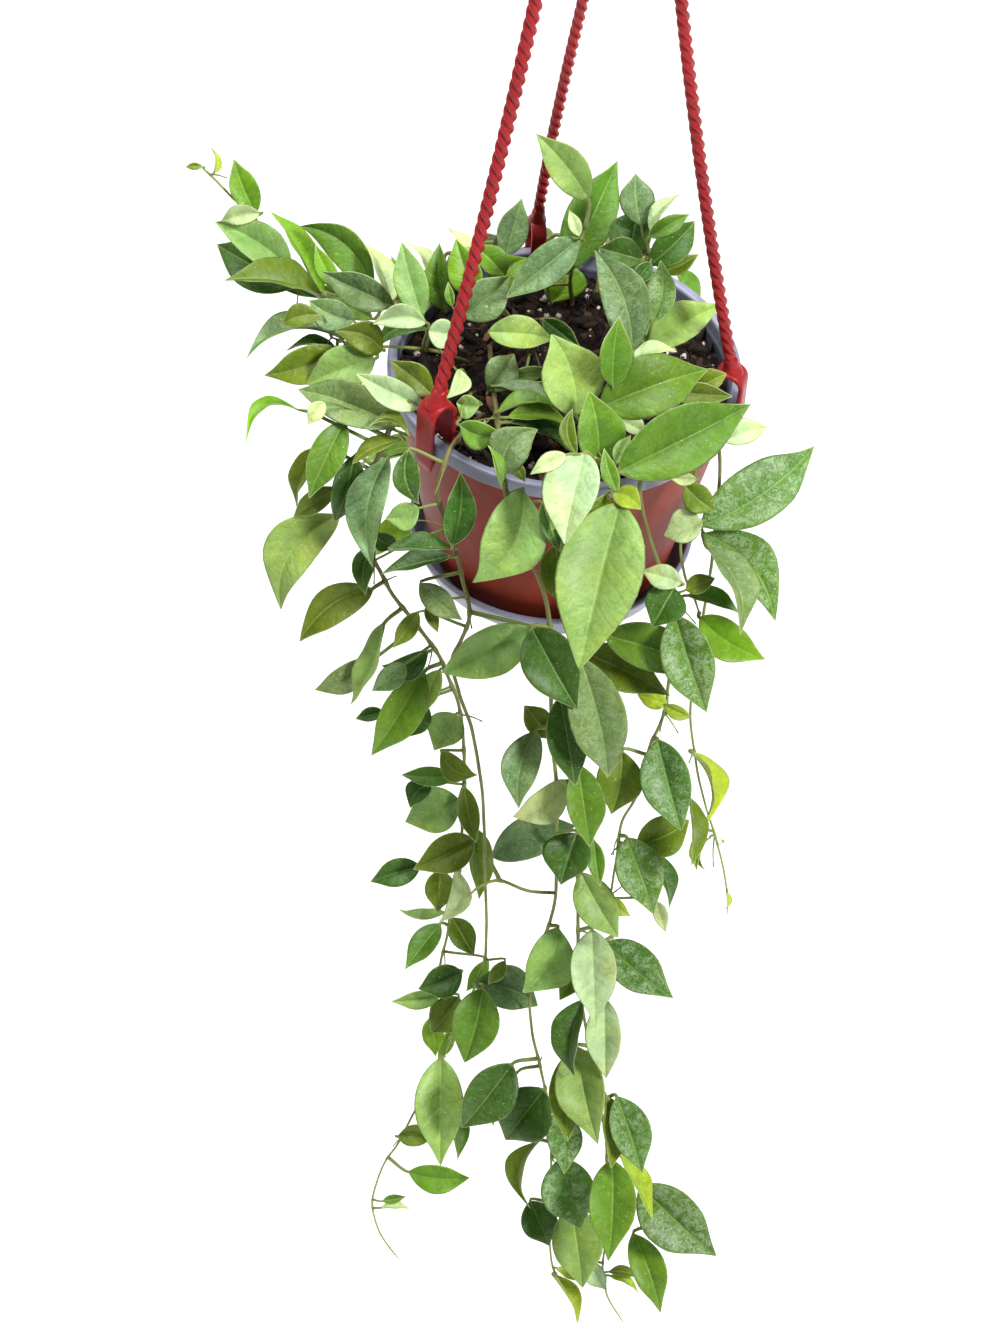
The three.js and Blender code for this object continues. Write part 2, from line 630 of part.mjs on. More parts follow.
// The plant as the photograph shows it. Routes are points on its stems; leaves are rows of the
// blade's base, its tip and its breadth, in the photograph's pixels, and its bow.
const rooted = true;
const plants = {
  shoot_upper_left: {
    stems: [{
      rooted, thick: 2.6, thin: 1.3,
      points: [
        level(456, 340, -8), level(428, 331, 6), level(405, 318, 12), front(378, 303, -28),
        front(346, 297, -31), front(318, 291, -33), front(298, 279, -35), front(280, 257, -38),
        front(263, 231, -41), front(251, 213, -43), front(234, 199, -45), front(216, 180, -47),
        front(202, 167, -49),
      ],
    }],
    leaves: [
      [203, 167, 185, 167, 8, 4], [214, 172, 213, 147, 6, 6], [215, 172, 223, 166, 5, 0],
      [256, 213, 234, 159, 28, -4], [260, 213, 220, 221, 21, 10], [291, 271, 215, 223, 39, 6],
      [300, 284, 215, 240, 53, -6], [322, 298, 226, 284, 29, 0], [320, 296, 272, 208, 21, -4],
      [318, 297, 235, 272, 30, 0],
    ],
  },
  spray_left_back: {
    stems: [{
      rooted, thick: 2.4, thin: 1.4,
      points: [
        level(478, 312, -8), level(452, 303, 5), level(430, 301, 9), level(408, 300, 12),
        front(384, 296, -32),
      ],
    }, {
      thick: 1.8, thin: 1.3,
      points: [level(430, 301, 9), level(428, 308, 16), level(421, 312, 22)],
    }],
    leaves: [
      [373, 290, 299, 225, 37, 18], [338, 290, 315, 244, 20, -5], [393, 305, 321, 272, 35, 0],
      [372, 319, 317, 284, 28, 1], [392, 302, 368, 242, 20, 1], [422, 316, 402, 242, 33, -2],
      [431, 300, 406, 240, 21, 13], [398, 300, 391, 255, 16, -1], [446, 310, 439, 246, 31, -2],
    ],
  },
  spray_left: {
    stems: [{
      rooted, thick: 2.4, thin: 1.3,
      points: [
        level(468, 362, -8), level(440, 352, 5), level(412, 348, 12), front(386, 346, 6),
        front(366, 347, 6), front(346, 343, 6), front(330, 337, 5),
      ],
    }],
    leaves: [
      [354, 321, 309, 300, 33, -8], [342, 338, 247, 360, 22, 15], [319, 315, 280, 325, 24, 8],
      [343, 351, 263, 375, 37, -4], [375, 359, 305, 384, 45, 2], [382, 350, 336, 333, 33, 15],
      [335, 348, 285, 347, 11, 0], [426, 322, 372, 325, 26, 15], [428, 330, 374, 347, 20, 11],
    ],
  },
  vine_left_long: {
    stems: [{
      rooted, thick: 2.8, thin: 1.4,
      points: [
        level(452, 392, -8), level(430, 394, 6), level(408, 402, 12), front(394, 418, 38),
        front(386, 440, 45), front(372, 470, 49), front(358, 505, 51), front(360, 540, 52),
        front(378, 568, 53), front(392, 594, 54), front(414, 622, 55), front(437, 652, 56),
        front(449, 680, 56), front(459, 706, 56), front(463, 745, 57), front(464, 790, 57),
        front(462, 835, 57), front(459, 875, 57), front(450, 920, 57), front(441, 962, 57),
        front(431, 1008, 57), front(430, 1036, 57),
      ],
    }],
    leaves: [
      [398, 425, 296, 385, 46, 0], [422, 407, 356, 374, 30, 0], [432, 395, 390, 361, 31, 4],
      [324, 402, 308, 425, 18, 4], [345, 421, 308, 499, 36, 0], [320, 448, 291, 506, 22, 0],
      [354, 456, 334, 523, 34, -1], [336, 488, 292, 516, 23, -2], [338, 515, 278, 611, 52, 18],
      [388, 458, 374, 569, 41, 12], [399, 441, 351, 462, 16, -1], [409, 436, 369, 425, 13, 24],
      [372, 546, 365, 595, 24, 9], [396, 545, 375, 531, 20, -19], [372, 589, 301, 643, 38, 14],
      [384, 624, 346, 703, 21, -12], [372, 660, 313, 690, 28, -8], [428, 652, 381, 665, 26, -19],
      [405, 664, 372, 691, 25, -2], [424, 672, 371, 758, 41, 0], [440, 670, 424, 714, 24, 4],
      [425, 702, 402, 738, 30, -6], [384, 712, 355, 719, 15, 0], [456, 714, 434, 750, 38, 0],
      [441, 752, 478, 775, 25, 20], [454, 778, 401, 775, 20, 0], [431, 784, 410, 808, 24, 16],
      [459, 800, 405, 822, 46, -4], [464, 787, 476, 843, 22, 2], [474, 840, 414, 869, 38, -1],
      [440, 870, 438, 913, 31, 1], [457, 870, 438, 922, 23, -24], [420, 866, 370, 882, 28, 2],
      [452, 918, 474, 956, 26, 0], [440, 924, 405, 969, 26, 0], [444, 913, 399, 907, 10, -21],
      [462, 972, 418, 989, 33, -4], [440, 995, 391, 1001, 19, 0], [459, 997, 431, 1034, 37, 0],
      [430, 1018, 435, 1056, 22, -5], [470, 826, 478, 900, 23, 3], [488, 960, 466, 992, 16, 0],
      [452, 1030, 438, 1060, 14, 0], [298, 410, 246, 446, 12, 30],
    ],
  },
  vine_left_front: {
    stems: [{
      rooted, thick: 2.6, thin: 1.2,
      points: [
        level(483, 414, -8), level(464, 430, 5), level(452, 446, 12), front(444, 466, 75),
        front(437, 490, 79), front(444, 518, 79), front(455, 548, 78), front(463, 580, 78),
        front(470, 612, 78), front(461, 640, 78), front(452, 662, 79), front(459, 692, 80),
        front(470, 724, 80), front(478, 762, 80), front(483, 802, 80), front(485, 872, 80),
        front(486, 950, 79), front(479, 976, 78), front(467, 1005, 77), front(453, 1034, 75),
        front(445, 1053, 74), front(433, 1084, 73), front(416, 1110, 72), front(401, 1138, 72),
        front(386, 1160, 71), front(375, 1188, 71), front(373, 1211, 70), front(382, 1236, 70),
        front(399, 1259, 70),
      ],
    }],
    leaves: [
      [408, 450, 420, 505, 28, 16], [419, 508, 385, 518, 29, -8], [452, 545, 460, 472, 32, 6],
      [388, 550, 458, 545, 16, 5], [450, 557, 381, 574, 21, 0], [420, 584, 462, 621, 27, 0],
      [418, 612, 393, 649, 20, 1], [426, 606, 438, 633, 13, -2], [533, 629, 441, 672, 50, 0],
      [475, 984, 538, 1007, 44, -9], [483, 988, 464, 1064, 47, -3], [505, 961, 488, 985, 15, 2],
      [441, 1058, 440, 1166, 49, 0], [449, 1108, 459, 1159, 16, 0], [398, 1136, 435, 1139, 24, -14],
      [409, 1172, 470, 1178, 29, 4], [383, 1201, 406, 1196, 10, 0], [381, 1208, 410, 1208, 7, 0],
    ],
  },
  vine_centre: {
    stems: [{
      rooted, thick: 3, thin: 1.3,
      points: [
        level(490, 346, -8), level(492, 372, 3), level(496, 405, 7), level(499, 440, 9),
        level(502, 468, 12), front(506, 492, 82), front(514, 524, 88), front(532, 562, 90),
        front(547, 604, 91), front(551, 650, 91), front(551, 700, 91), front(553, 745, 91),
        front(557, 790, 91), front(556, 840, 91), front(556, 893, 91), front(550, 922, 91),
        front(541, 946, 91), front(532, 975, 91), front(530, 1006, 91), front(532, 1034, 91),
        front(539, 1062, 91), front(546, 1092, 91), front(550, 1122, 91), front(551, 1180, 91),
        front(549, 1235, 91), front(553, 1266, 91), front(562, 1284, 91),
      ],
    }, {
      thick: 2.2, thin: 1.6,
      points: [
        front(556, 893, 91), front(530, 891, 95), front(500, 881, 99), front(480, 887, 100),
        front(467, 898, 99),
      ],
    }],
    leaves: [
      [489, 391, 515, 353, 36, 0], [508, 378, 551, 369, 17, 0], [495, 387, 557, 406, 15, 1],
      [508, 418, 574, 424, 20, -8], [509, 423, 578, 459, 21, -8], [503, 472, 538, 430, 43, -24],
      [500, 484, 489, 444, 13, 0], [514, 464, 525, 482, 13, 0], [523, 491, 472, 583, 64, -17],
      [543, 503, 560, 552, 22, 2], [532, 628, 577, 709, 56, 0], [548, 738, 524, 705, 27, 2],
      [536, 731, 519, 809, 38, 10], [568, 781, 511, 816, 35, -17], [492, 856, 576, 826, 43, -11],
      [577, 833, 560, 885, 49, 0], [558, 928, 522, 993, 49, -12], [512, 1064, 461, 1130, 50, 0],
      [518, 1072, 490, 1127, 18, 0], [545, 1089, 504, 1143, 58, 0], [538, 1142, 527, 1209, 18, 14],
      [556, 1112, 564, 1173, 36, -7], [530, 1201, 550, 1247, 36, 0], [561, 1158, 581, 1229, 53, 0],
      [571, 1207, 583, 1287, 50, 0], [553, 1275, 582, 1322, 10, 0], [556, 1268, 576, 1281, 8, 2],
      [498, 413, 558, 402, 15, 0],
    ],
  },
  vine_centre_right: {
    stems: [{
      rooted, thick: 3, thin: 1.4,
      points: [
        level(612, 436, -8), level(615, 456, 4), level(617, 474, 11), front(619, 500, 83),
        front(616, 540, 92), front(604, 584, 95), front(590, 622, 96), front(581, 660, 96),
        front(577, 705, 96), front(576, 760, 96), front(578, 830, 96), front(578, 900, 96),
        front(578, 958, 96), front(582, 1002, 96), front(590, 1046, 96), front(602, 1088, 96),
        front(614, 1130, 96), front(625, 1165, 96), front(638, 1188, 96), front(654, 1214, 96),
        front(663, 1240, 96),
      ],
    }, {
      thick: 1.9, thin: 1.2,
      points: [
        front(590, 1046, 96), front(598, 1092, 99), front(606, 1140, 101), front(607, 1190, 101),
        front(606, 1240, 100), front(603, 1270, 99), front(607, 1296, 98), front(623, 1322, 97),
      ],
    }],
    leaves: [
      [607, 494, 590, 540, 27, 0], [613, 493, 641, 510, 25, -15], [620, 503, 578, 669, 86, 0],
      [555, 545, 569, 612, 38, 0], [580, 658, 610, 783, 57, -3], [560, 697, 576, 788, 40, 0],
      [578, 765, 591, 849, 39, 2], [581, 873, 618, 939, 41, 0], [594, 841, 600, 887, 18, 0],
      [592, 930, 595, 1026, 46, 0], [605, 999, 606, 1080, 36, 0], [578, 962, 559, 1000, 24, 0],
      [583, 1000, 570, 1078, 28, 0], [564, 1058, 568, 1142, 35, 2], [576, 1047, 596, 1142, 50, 0],
      [605, 1095, 612, 1168, 25, 0], [617, 1097, 643, 1173, 40, 0], [640, 1186, 716, 1257, 58, 0],
      [617, 1150, 654, 1219, 17, 1], [612, 1160, 608, 1259, 47, -2], [590, 1262, 607, 1290, 21, 4],
      [609, 1272, 640, 1276, 10, -2], [610, 1276, 639, 1294, 9, -4], [633, 1234, 660, 1312, 34, -4],
      [562, 480, 552, 532, 21, 0],
    ],
  },
  vine_right_front: {
    stems: [{
      rooted, thick: 2.7, thin: 1.3,
      points: [
        level(662, 430, -8), level(653, 450, 5), level(644, 467, 12), front(640, 494, 79),
        front(648, 530, 86), front(658, 562, 88), front(668, 582, 88), front(675, 604, 87),
        front(673, 645, 86), front(668, 690, 85), front(661, 724, 85), front(649, 748, 85),
        front(646, 776, 86), front(634, 801, 87), front(622, 822, 88), front(618, 850, 89),
        front(612, 882, 89), front(610, 908, 89), front(613, 940, 89),
      ],
    }],
    leaves: [
      [682, 583, 641, 570, 26, 0], [674, 588, 652, 628, 43, 2], [686, 590, 715, 578, 20, -2],
      [688, 596, 740, 615, 19, -1], [675, 616, 706, 713, 52, 0], [605, 635, 713, 670, 47, 0],
      [584, 652, 669, 695, 45, 0], [667, 705, 637, 694, 20, 0], [690, 717, 662, 704, 15, 0],
      [622, 751, 611, 815, 47, -6], [658, 740, 682, 831, 50, 0], [637, 845, 690, 820, 41, 6],
      [690, 799, 694, 865, 17, 6], [627, 838, 654, 914, 47, 0], [645, 852, 670, 907, 18, -7],
      [655, 901, 666, 932, 15, 2], [609, 896, 631, 916, 16, 4], [606, 943, 673, 997, 45, 4],
    ],
  },
  vine_right: {
    stems: [{
      rooted, thick: 2.5, thin: 1.3,
      points: [
        level(682, 425, -8), level(692, 440, 5), level(697, 452, 12), front(694, 478, 64),
        front(686, 510, 70), front(681, 546, 72), front(684, 575, 72), front(694, 598, 71),
        front(700, 615, 70),
      ],
    }, {
      thick: 1.9, thin: 1.4,
      points: [front(686, 510, 70), front(700, 524, 66), front(704, 538, 64)],
    }],
    leaves: [
      [702, 526, 816, 444, 58, 8], [704, 534, 775, 619, 48, -12], [707, 548, 744, 633, 33, -6],
      [685, 485, 717, 512, 29, 5], [703, 521, 663, 535, 36, -4], [696, 479, 668, 478, 13, 0],
      [700, 618, 765, 659, 40, 8],
    ],
  },
  vine_far_right: {
    stems: [{
      rooted, thick: 2.2, thin: 1.1,
      points: [
        level(698, 408, -8), level(707, 423, 5), level(715, 436, 11), front(720, 454, 45),
        front(718, 494, 51), front(712, 560, 54), front(700, 640, 55), front(690, 710, 55),
        front(696, 765, 55), front(706, 806, 55), front(715, 835, 55), front(723, 868, 55),
        front(727, 892, 55), front(727, 915, 55),
      ],
    }],
    leaves: [
      [724, 441, 769, 427, 25, -6], [690, 752, 709, 829, 8, -15], [710, 838, 706, 871, 9, 19],
      [707, 832, 696, 870, 11, 2], [722, 842, 724, 840, 5, 1], [727, 892, 726, 910, 6, -2],
    ],
  },
  spray_top_right: {
    stems: [{
      rooted, thick: 2.6, thin: 1.5,
      points: [
        level(640, 306, -8), level(643, 294, 8), level(646, 284, 26), level(646, 270, 42),
        level(648, 252, 56),
      ],
    }],
    leaves: [
      [633, 262, 643, 205, 44, -5], [642, 260, 598, 247, 35, -2], [641, 226, 636, 173, 36, -7],
      [651, 232, 679, 194, 14, 0], [649, 237, 690, 214, 19, 0], [650, 265, 696, 219, 34, 3],
      [662, 272, 699, 254, 18, 6], [640, 330, 642, 273, 25, 0], [650, 262, 634, 284, 18, 0],
    ],
  },
  spray_top_centre: {
    stems: [{
      rooted, thick: 2.8, thin: 1.5,
      points: [
        level(572, 300, -8), level(570, 284, 10), level(571, 270, 28), level(577, 252, 44),
        level(586, 226, 58),
      ],
    }, {
      thick: 1.9, thin: 1.5,
      points: [level(570, 284, 10), level(550, 285, 6), level(528, 290, 4), level(508, 295, 3)],
    }],
    leaves: [
      [566, 271, 618, 159, 49, 1], [579, 239, 505, 299, 38, 0], [588, 199, 536, 135, 38, 4],
      [552, 302, 561, 255, 42, 24], [505, 256, 522, 198, 31, 0], [579, 236, 569, 210, 14, 1],
    ],
  },
  spray_back_left: {
    stems: [{
      rooted, thick: 2.5, thin: 1.4,
      points: [level(512, 320, -8), level(500, 308, 5), level(482, 304, 14), level(464, 306, 20)],
    }, {
      thick: 1.8, thin: 1.4,
      points: [level(500, 308, 5), level(500, 292, 16), level(502, 274, 24)],
    }],
    leaves: [
      [476, 275, 450, 224, 20, 0], [474, 298, 456, 239, 34, 0], [505, 276, 471, 244, 29, 0],
      [500, 291, 529, 257, 31, -17], [463, 317, 510, 276, 42, 2], [452, 306, 448, 282, 10, 0],
    ],
  },
  spray_middle: {
    stems: [{
      rooted, thick: 2.2, thin: 1.5,
      points: [level(530, 352, -8), level(532, 345, 2), level(538, 340, 8), level(548, 338, 12)],
    }],
    leaves: [
      [488, 332, 556, 339, 34, -2], [543, 319, 581, 348, 23, 0], [526, 388, 560, 389, 13, 0],
    ],
  },
  spray_centre: {
    stems: [{
      rooted, thick: 2.8, thin: 1.6,
      points: [
        level(592, 436, -8), level(594, 424, 8), level(598, 412, 20), level(610, 396, 30),
        level(628, 368, 38),
      ],
    }, {
      thick: 2, thin: 1.6,
      points: [level(594, 424, 8), level(596, 438, 16), level(597, 452, 22)],
    }],
    leaves: [
      [576, 416, 552, 334, 64, 7], [632, 352, 594, 249, 48, 9], [613, 386, 619, 317, 34, -5],
      [604, 366, 617, 341, 14, 0], [599, 408, 711, 367, 62, -1], [598, 464, 589, 392, 48, 3],
      [576, 453, 573, 408, 17, -17],
    ],
  },
  spray_right: {
    stems: [{
      rooted, thick: 2.4, thin: 1.4,
      points: [level(652, 366, -8), level(648, 356, 6), level(646, 348, 16), level(648, 338, 26)],
    }, {
      thick: 1.8, thin: 1.3,
      points: [level(648, 356, 6), level(668, 362, 10), level(692, 376, 12)],
    }],
    leaves: [
      [652, 322, 660, 260, 30, 11], [641, 345, 723, 304, 41, 0], [630, 360, 677, 352, 15, -8],
      [700, 386, 726, 373, 23, 4], [672, 392, 732, 397, 25, 0],
    ],
  },
  spray_front_right: {
    stems: [{
      rooted, thick: 2.8, thin: 1.8,
      points: [
        level(632, 446, -8), level(626, 456, 8), level(619, 463, 20), level(606, 461, 28),
        level(590, 456, 33),
      ],
    }],
    leaves: [
      [618, 472, 753, 403, 65, 0], [616, 464, 631, 434, 18, 0], [621, 421, 648, 434, 20, 0],
      [585, 453, 565, 546, 58, 1], [566, 455, 530, 474, 20, 0], [617, 491, 604, 448, 17, -5],
    ],
  },
  spray_front_left: {
    stems: [{
      rooted, thick: 2.3, thin: 1.4,
      points: [level(474, 392, -8), level(468, 398, 5), level(462, 408, 12), level(460, 420, 16)],
    }],
    leaves: [
      [480, 405, 456, 402, 25, -8], [460, 425, 502, 432, 29, 16], [460, 370, 445, 399, 20, -23, 8],
      [428, 331, 459, 334, 31, 0],
    ],
  },
};

// Stems that hang behind and beside the pot, out of the photograph's sight.
const hidden = {
  vine_back_right: { azimuth: 65, drop: 190, seed: 29 },
  vine_back_1: { azimuth: 79, drop: 165, seed: 23 },
  vine_back_2: { azimuth: 93, drop: 215, seed: 31 },
  vine_back_3: { azimuth: 115, drop: 180, seed: 47 },
  vine_back_left: { azimuth: 133, drop: 205, seed: 61 },
};

// The arms' and clips' places are taken before any leaf's.
for (const arm of arms) {
  const points = [];
  for (let t = 0; t <= 1; t += 0.016) points.push(armPoint(arm, t));
  crowd(points, armRadius + 3.2, 'arm', costs.hanger);
  const feet = [];
  for (let z = clip.outerLeg; z <= clip.bend + 6; z += 5) {
    for (const shift of [-5, 0, 5]) feet.push(vec(70.8, shift, z).applyAxisAngle(up, arm.angle * degrees));
  }
  crowd(feet, 9.5, 'clip', costs.hanger);
}

const grown = {};
const roots = [];
for (const [name, { azimuth, drop, seed }] of Object.entries(hidden)) {
  const points = trailing({ azimuth, drop, seed });
  plants[name] = { stems: [{ rooted, thick: 2.4, thin: 1.2, points }], leaves: [] };
}
for (const [name, plant] of Object.entries(plants)) {
  for (const stem of plant.stems) {
    stem.fine = placesOn(stem.points, placesBetween);
    if (stem.rooted) roots.push(stem.points[0]);
    crowd(stem.fine, clearOfStem, name, costs.stem);
    taken[taken.length - 1].stem = true;
  }
  grown[name] = plant.stems.map(makeStem);
}
Object.entries(plants).forEach(([name, plant], k) => {
  const random = seeded(101 + 17 * k);
  plant.made = plant.leaves.map((row) => leafAsSeen(row, plant.stems, random, name));
});
for (const [name, { azimuth, seed }] of Object.entries(hidden)) {
  plants[name].made = trailingLeaves(plants[name].stems[0], azimuth, seed, name);
}

const finishes = {
  pot: { color: 0x8a3b2c, roughness: 0.5 },
  dark: { color: 0x8f90a8, roughness: 0.35 },
  mix: { color: 0x2b211b, roughness: 0.95 },
  red: { color: 0xa32026, roughness: 0.4 },
  leaf: { color: 0x6f9a4a, roughness: 0.45 },
};

const part = new THREE.Group();
function place(name, solid, finish, turn = 0) {
  const material = new THREE.MeshStandardMaterial({ ...finish, metalness: 0 });
  const mesh = new THREE.Mesh(geometryOf(solid), material);
  mesh.name = name;
  mesh.rotation.z = turn * degrees;
  part.add(mesh);
}

place('pot', makePot(), finishes.pot);
place('drip_saucer', makeSaucer(), finishes.dark);
place('potting_mix', makeMix(roots), finishes.mix);
place('hanger_hook', makeHook(), finishes.red);
arms.forEach((arm, k) => place(`hanger_arm_${k + 1}`, makeArm(arm), finishes.red, arm.angle));
for (const [name, plant] of Object.entries(plants)) {
  place(name, joined([...grown[name], ...plant.made.map(makeLeaf)]), finishes.leaf);
}
part.position.z = -hookBearing;

export default part;
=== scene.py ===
# A hoya lacunosa in a hanging pot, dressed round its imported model: the leaves and stems, the pot with
# its saucer and mix, and the twisted hanger are made finer here, each in the place of its own node.
# Shapes are worked out in millimetres about the middle of the pot's rim, and written in metres below
# the hook, where the model has its origin.
import math

import bpy
import numpy as np
from mathutils import Matrix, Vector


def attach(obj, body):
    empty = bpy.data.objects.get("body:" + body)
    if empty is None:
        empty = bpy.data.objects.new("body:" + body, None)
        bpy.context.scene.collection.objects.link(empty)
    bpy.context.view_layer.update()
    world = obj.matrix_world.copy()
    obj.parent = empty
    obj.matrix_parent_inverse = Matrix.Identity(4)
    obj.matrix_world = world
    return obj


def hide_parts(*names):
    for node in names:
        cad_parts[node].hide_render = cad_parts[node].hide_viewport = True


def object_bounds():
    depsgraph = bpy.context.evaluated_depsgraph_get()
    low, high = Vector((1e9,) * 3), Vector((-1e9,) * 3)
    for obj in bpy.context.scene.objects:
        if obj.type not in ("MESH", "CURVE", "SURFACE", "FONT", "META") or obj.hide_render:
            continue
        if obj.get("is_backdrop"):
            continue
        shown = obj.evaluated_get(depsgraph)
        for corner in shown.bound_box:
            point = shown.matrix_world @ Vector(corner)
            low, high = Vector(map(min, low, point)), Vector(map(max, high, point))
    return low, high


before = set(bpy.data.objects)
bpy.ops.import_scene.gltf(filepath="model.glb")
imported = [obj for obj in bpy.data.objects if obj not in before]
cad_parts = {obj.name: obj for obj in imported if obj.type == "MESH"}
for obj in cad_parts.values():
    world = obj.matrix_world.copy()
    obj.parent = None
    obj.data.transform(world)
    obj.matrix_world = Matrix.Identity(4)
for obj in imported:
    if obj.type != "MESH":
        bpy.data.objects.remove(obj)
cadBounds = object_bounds()
print("model loaded")

# The photograph's view, far off and 43 degrees above the rim; zoom is its lens in pixels
view = {"distance": 2000, "elevation": 43, "yaw": -0.678, "pitch": 46.709, "roll": 4.5, "zoom": 4733,
        "wide": 1000, "high": 1333}
hookBearing = 438.1
pot = {"rim": 75, "rimWidth": 4.5, "rimHeight": 7, "wall": 1.8, "height": 105, "base": 52,
       "underRim": 72.3, "mixDepth": 12, "sides": 144, "drainHoles": 6, "drainRadius": 4,
       "drainCircle": 32, "pegHole": 5}
saucer = {"radius": 62, "height": 15, "floor": 2, "gap": 0.3, "peg": 4.6}


# A vector over its own length
def unit(v):
    return v / np.linalg.norm(v, axis=-1, keepdims=True)


# Eye and the directions ahead, to the right and up in the picture, from the view's angles
def lookFrom(v):
    e, a, p, r = (math.radians(v[k]) for k in ("elevation", "yaw", "pitch", "roll"))
    ahead = np.array([math.sin(a) * math.cos(p), math.cos(a) * math.cos(p), -math.sin(p)])
    flat = np.array([math.cos(a), -math.sin(a), 0.0])
    upright = np.cross(flat, ahead)
    right = flat * math.cos(r) + upright * math.sin(r)
    above = upright * math.cos(r) - flat * math.sin(r)
    eye = np.array([0.0, -math.cos(e), math.sin(e)]) * v["distance"]
    return eye, ahead, right, above


eye, ahead, right, above = lookFrom(view)


# The line of sight through a pixel, and where it meets an upright plane in front of the axis, a level
# plane at a height, or the plane across the view at a depth
def sight(x, y):
    return (ahead + right * ((x - view["wide"] / 2) / view["zoom"])
            - above * ((y - view["high"] / 2) / view["zoom"]))


def front(x, y, forward):
    ray = sight(x, y)
    return eye + ray * ((-forward - eye[1]) / ray[1])


def level(x, y, height):
    ray = sight(x, y)
    return eye + ray * ((height - eye[2]) / ray[2])


def atDepth(x, y, depth):
    return eye + sight(x, y) * depth


# The pixels of points: their offsets across the view over their depths, times the zoom
def pixelsOf(points):
    away = points - eye
    depth = away @ ahead
    return np.stack([view["wide"] / 2 + view["zoom"] * (away @ right) / depth,
                     view["high"] / 2 - view["zoom"] * (away @ above) / depth], axis=-1)


# A seeded generator of numbers from 0 to 1: each state is the last times 48271, less whole multiples
# of 2147483647
def seeded(seed):
    state = [seed]

    def draw():
        state[0] = (state[0] * 48271) % 2147483647
        return state[0] / 2147483647
    return draw


def placed(name, data):
    made = bpy.data.objects.new(name, data)
    bpy.context.collection.objects.link(made)
    return made


# The camera stands where the photographer did
def makeCamera():
    data = bpy.data.cameras.new("photo_view")
    data.sensor_width = 36
    data.lens = view["zoom"] * data.sensor_width / view["high"]
    data.clip_start, data.clip_end = 0.05, 50
    camera = placed("photo_view", data)
    turn = np.eye(4)
    turn[:3, 0], turn[:3, 1], turn[:3, 2] = right, above, -ahead
    turn[:3, 3] = (eye - np.array([0, 0, hookBearing])) / 1000
    camera.matrix_world = Matrix(turn.tolist())
    bpy.context.scene.camera = camera


makeCamera()


# The plant as the photograph shows it. A stem has points that lie level in the pot, with their heights,
# then points in front of the axis, with how far; a leaf is a row of its base, tip, breadth and bow. All are
# in the pixels of the photograph, and heights and distances in millimetres. A letter for each leaf is its
# tone.
def stem(thick, thin, level, front=(), rooted=True):
    return {"rooted": rooted, "thick": thick, "thin": thin, "level": level, "front": front}


def plant(tones, stems, leaves):
    return {"tones": tones, "stems": stems, "leaves": leaves}


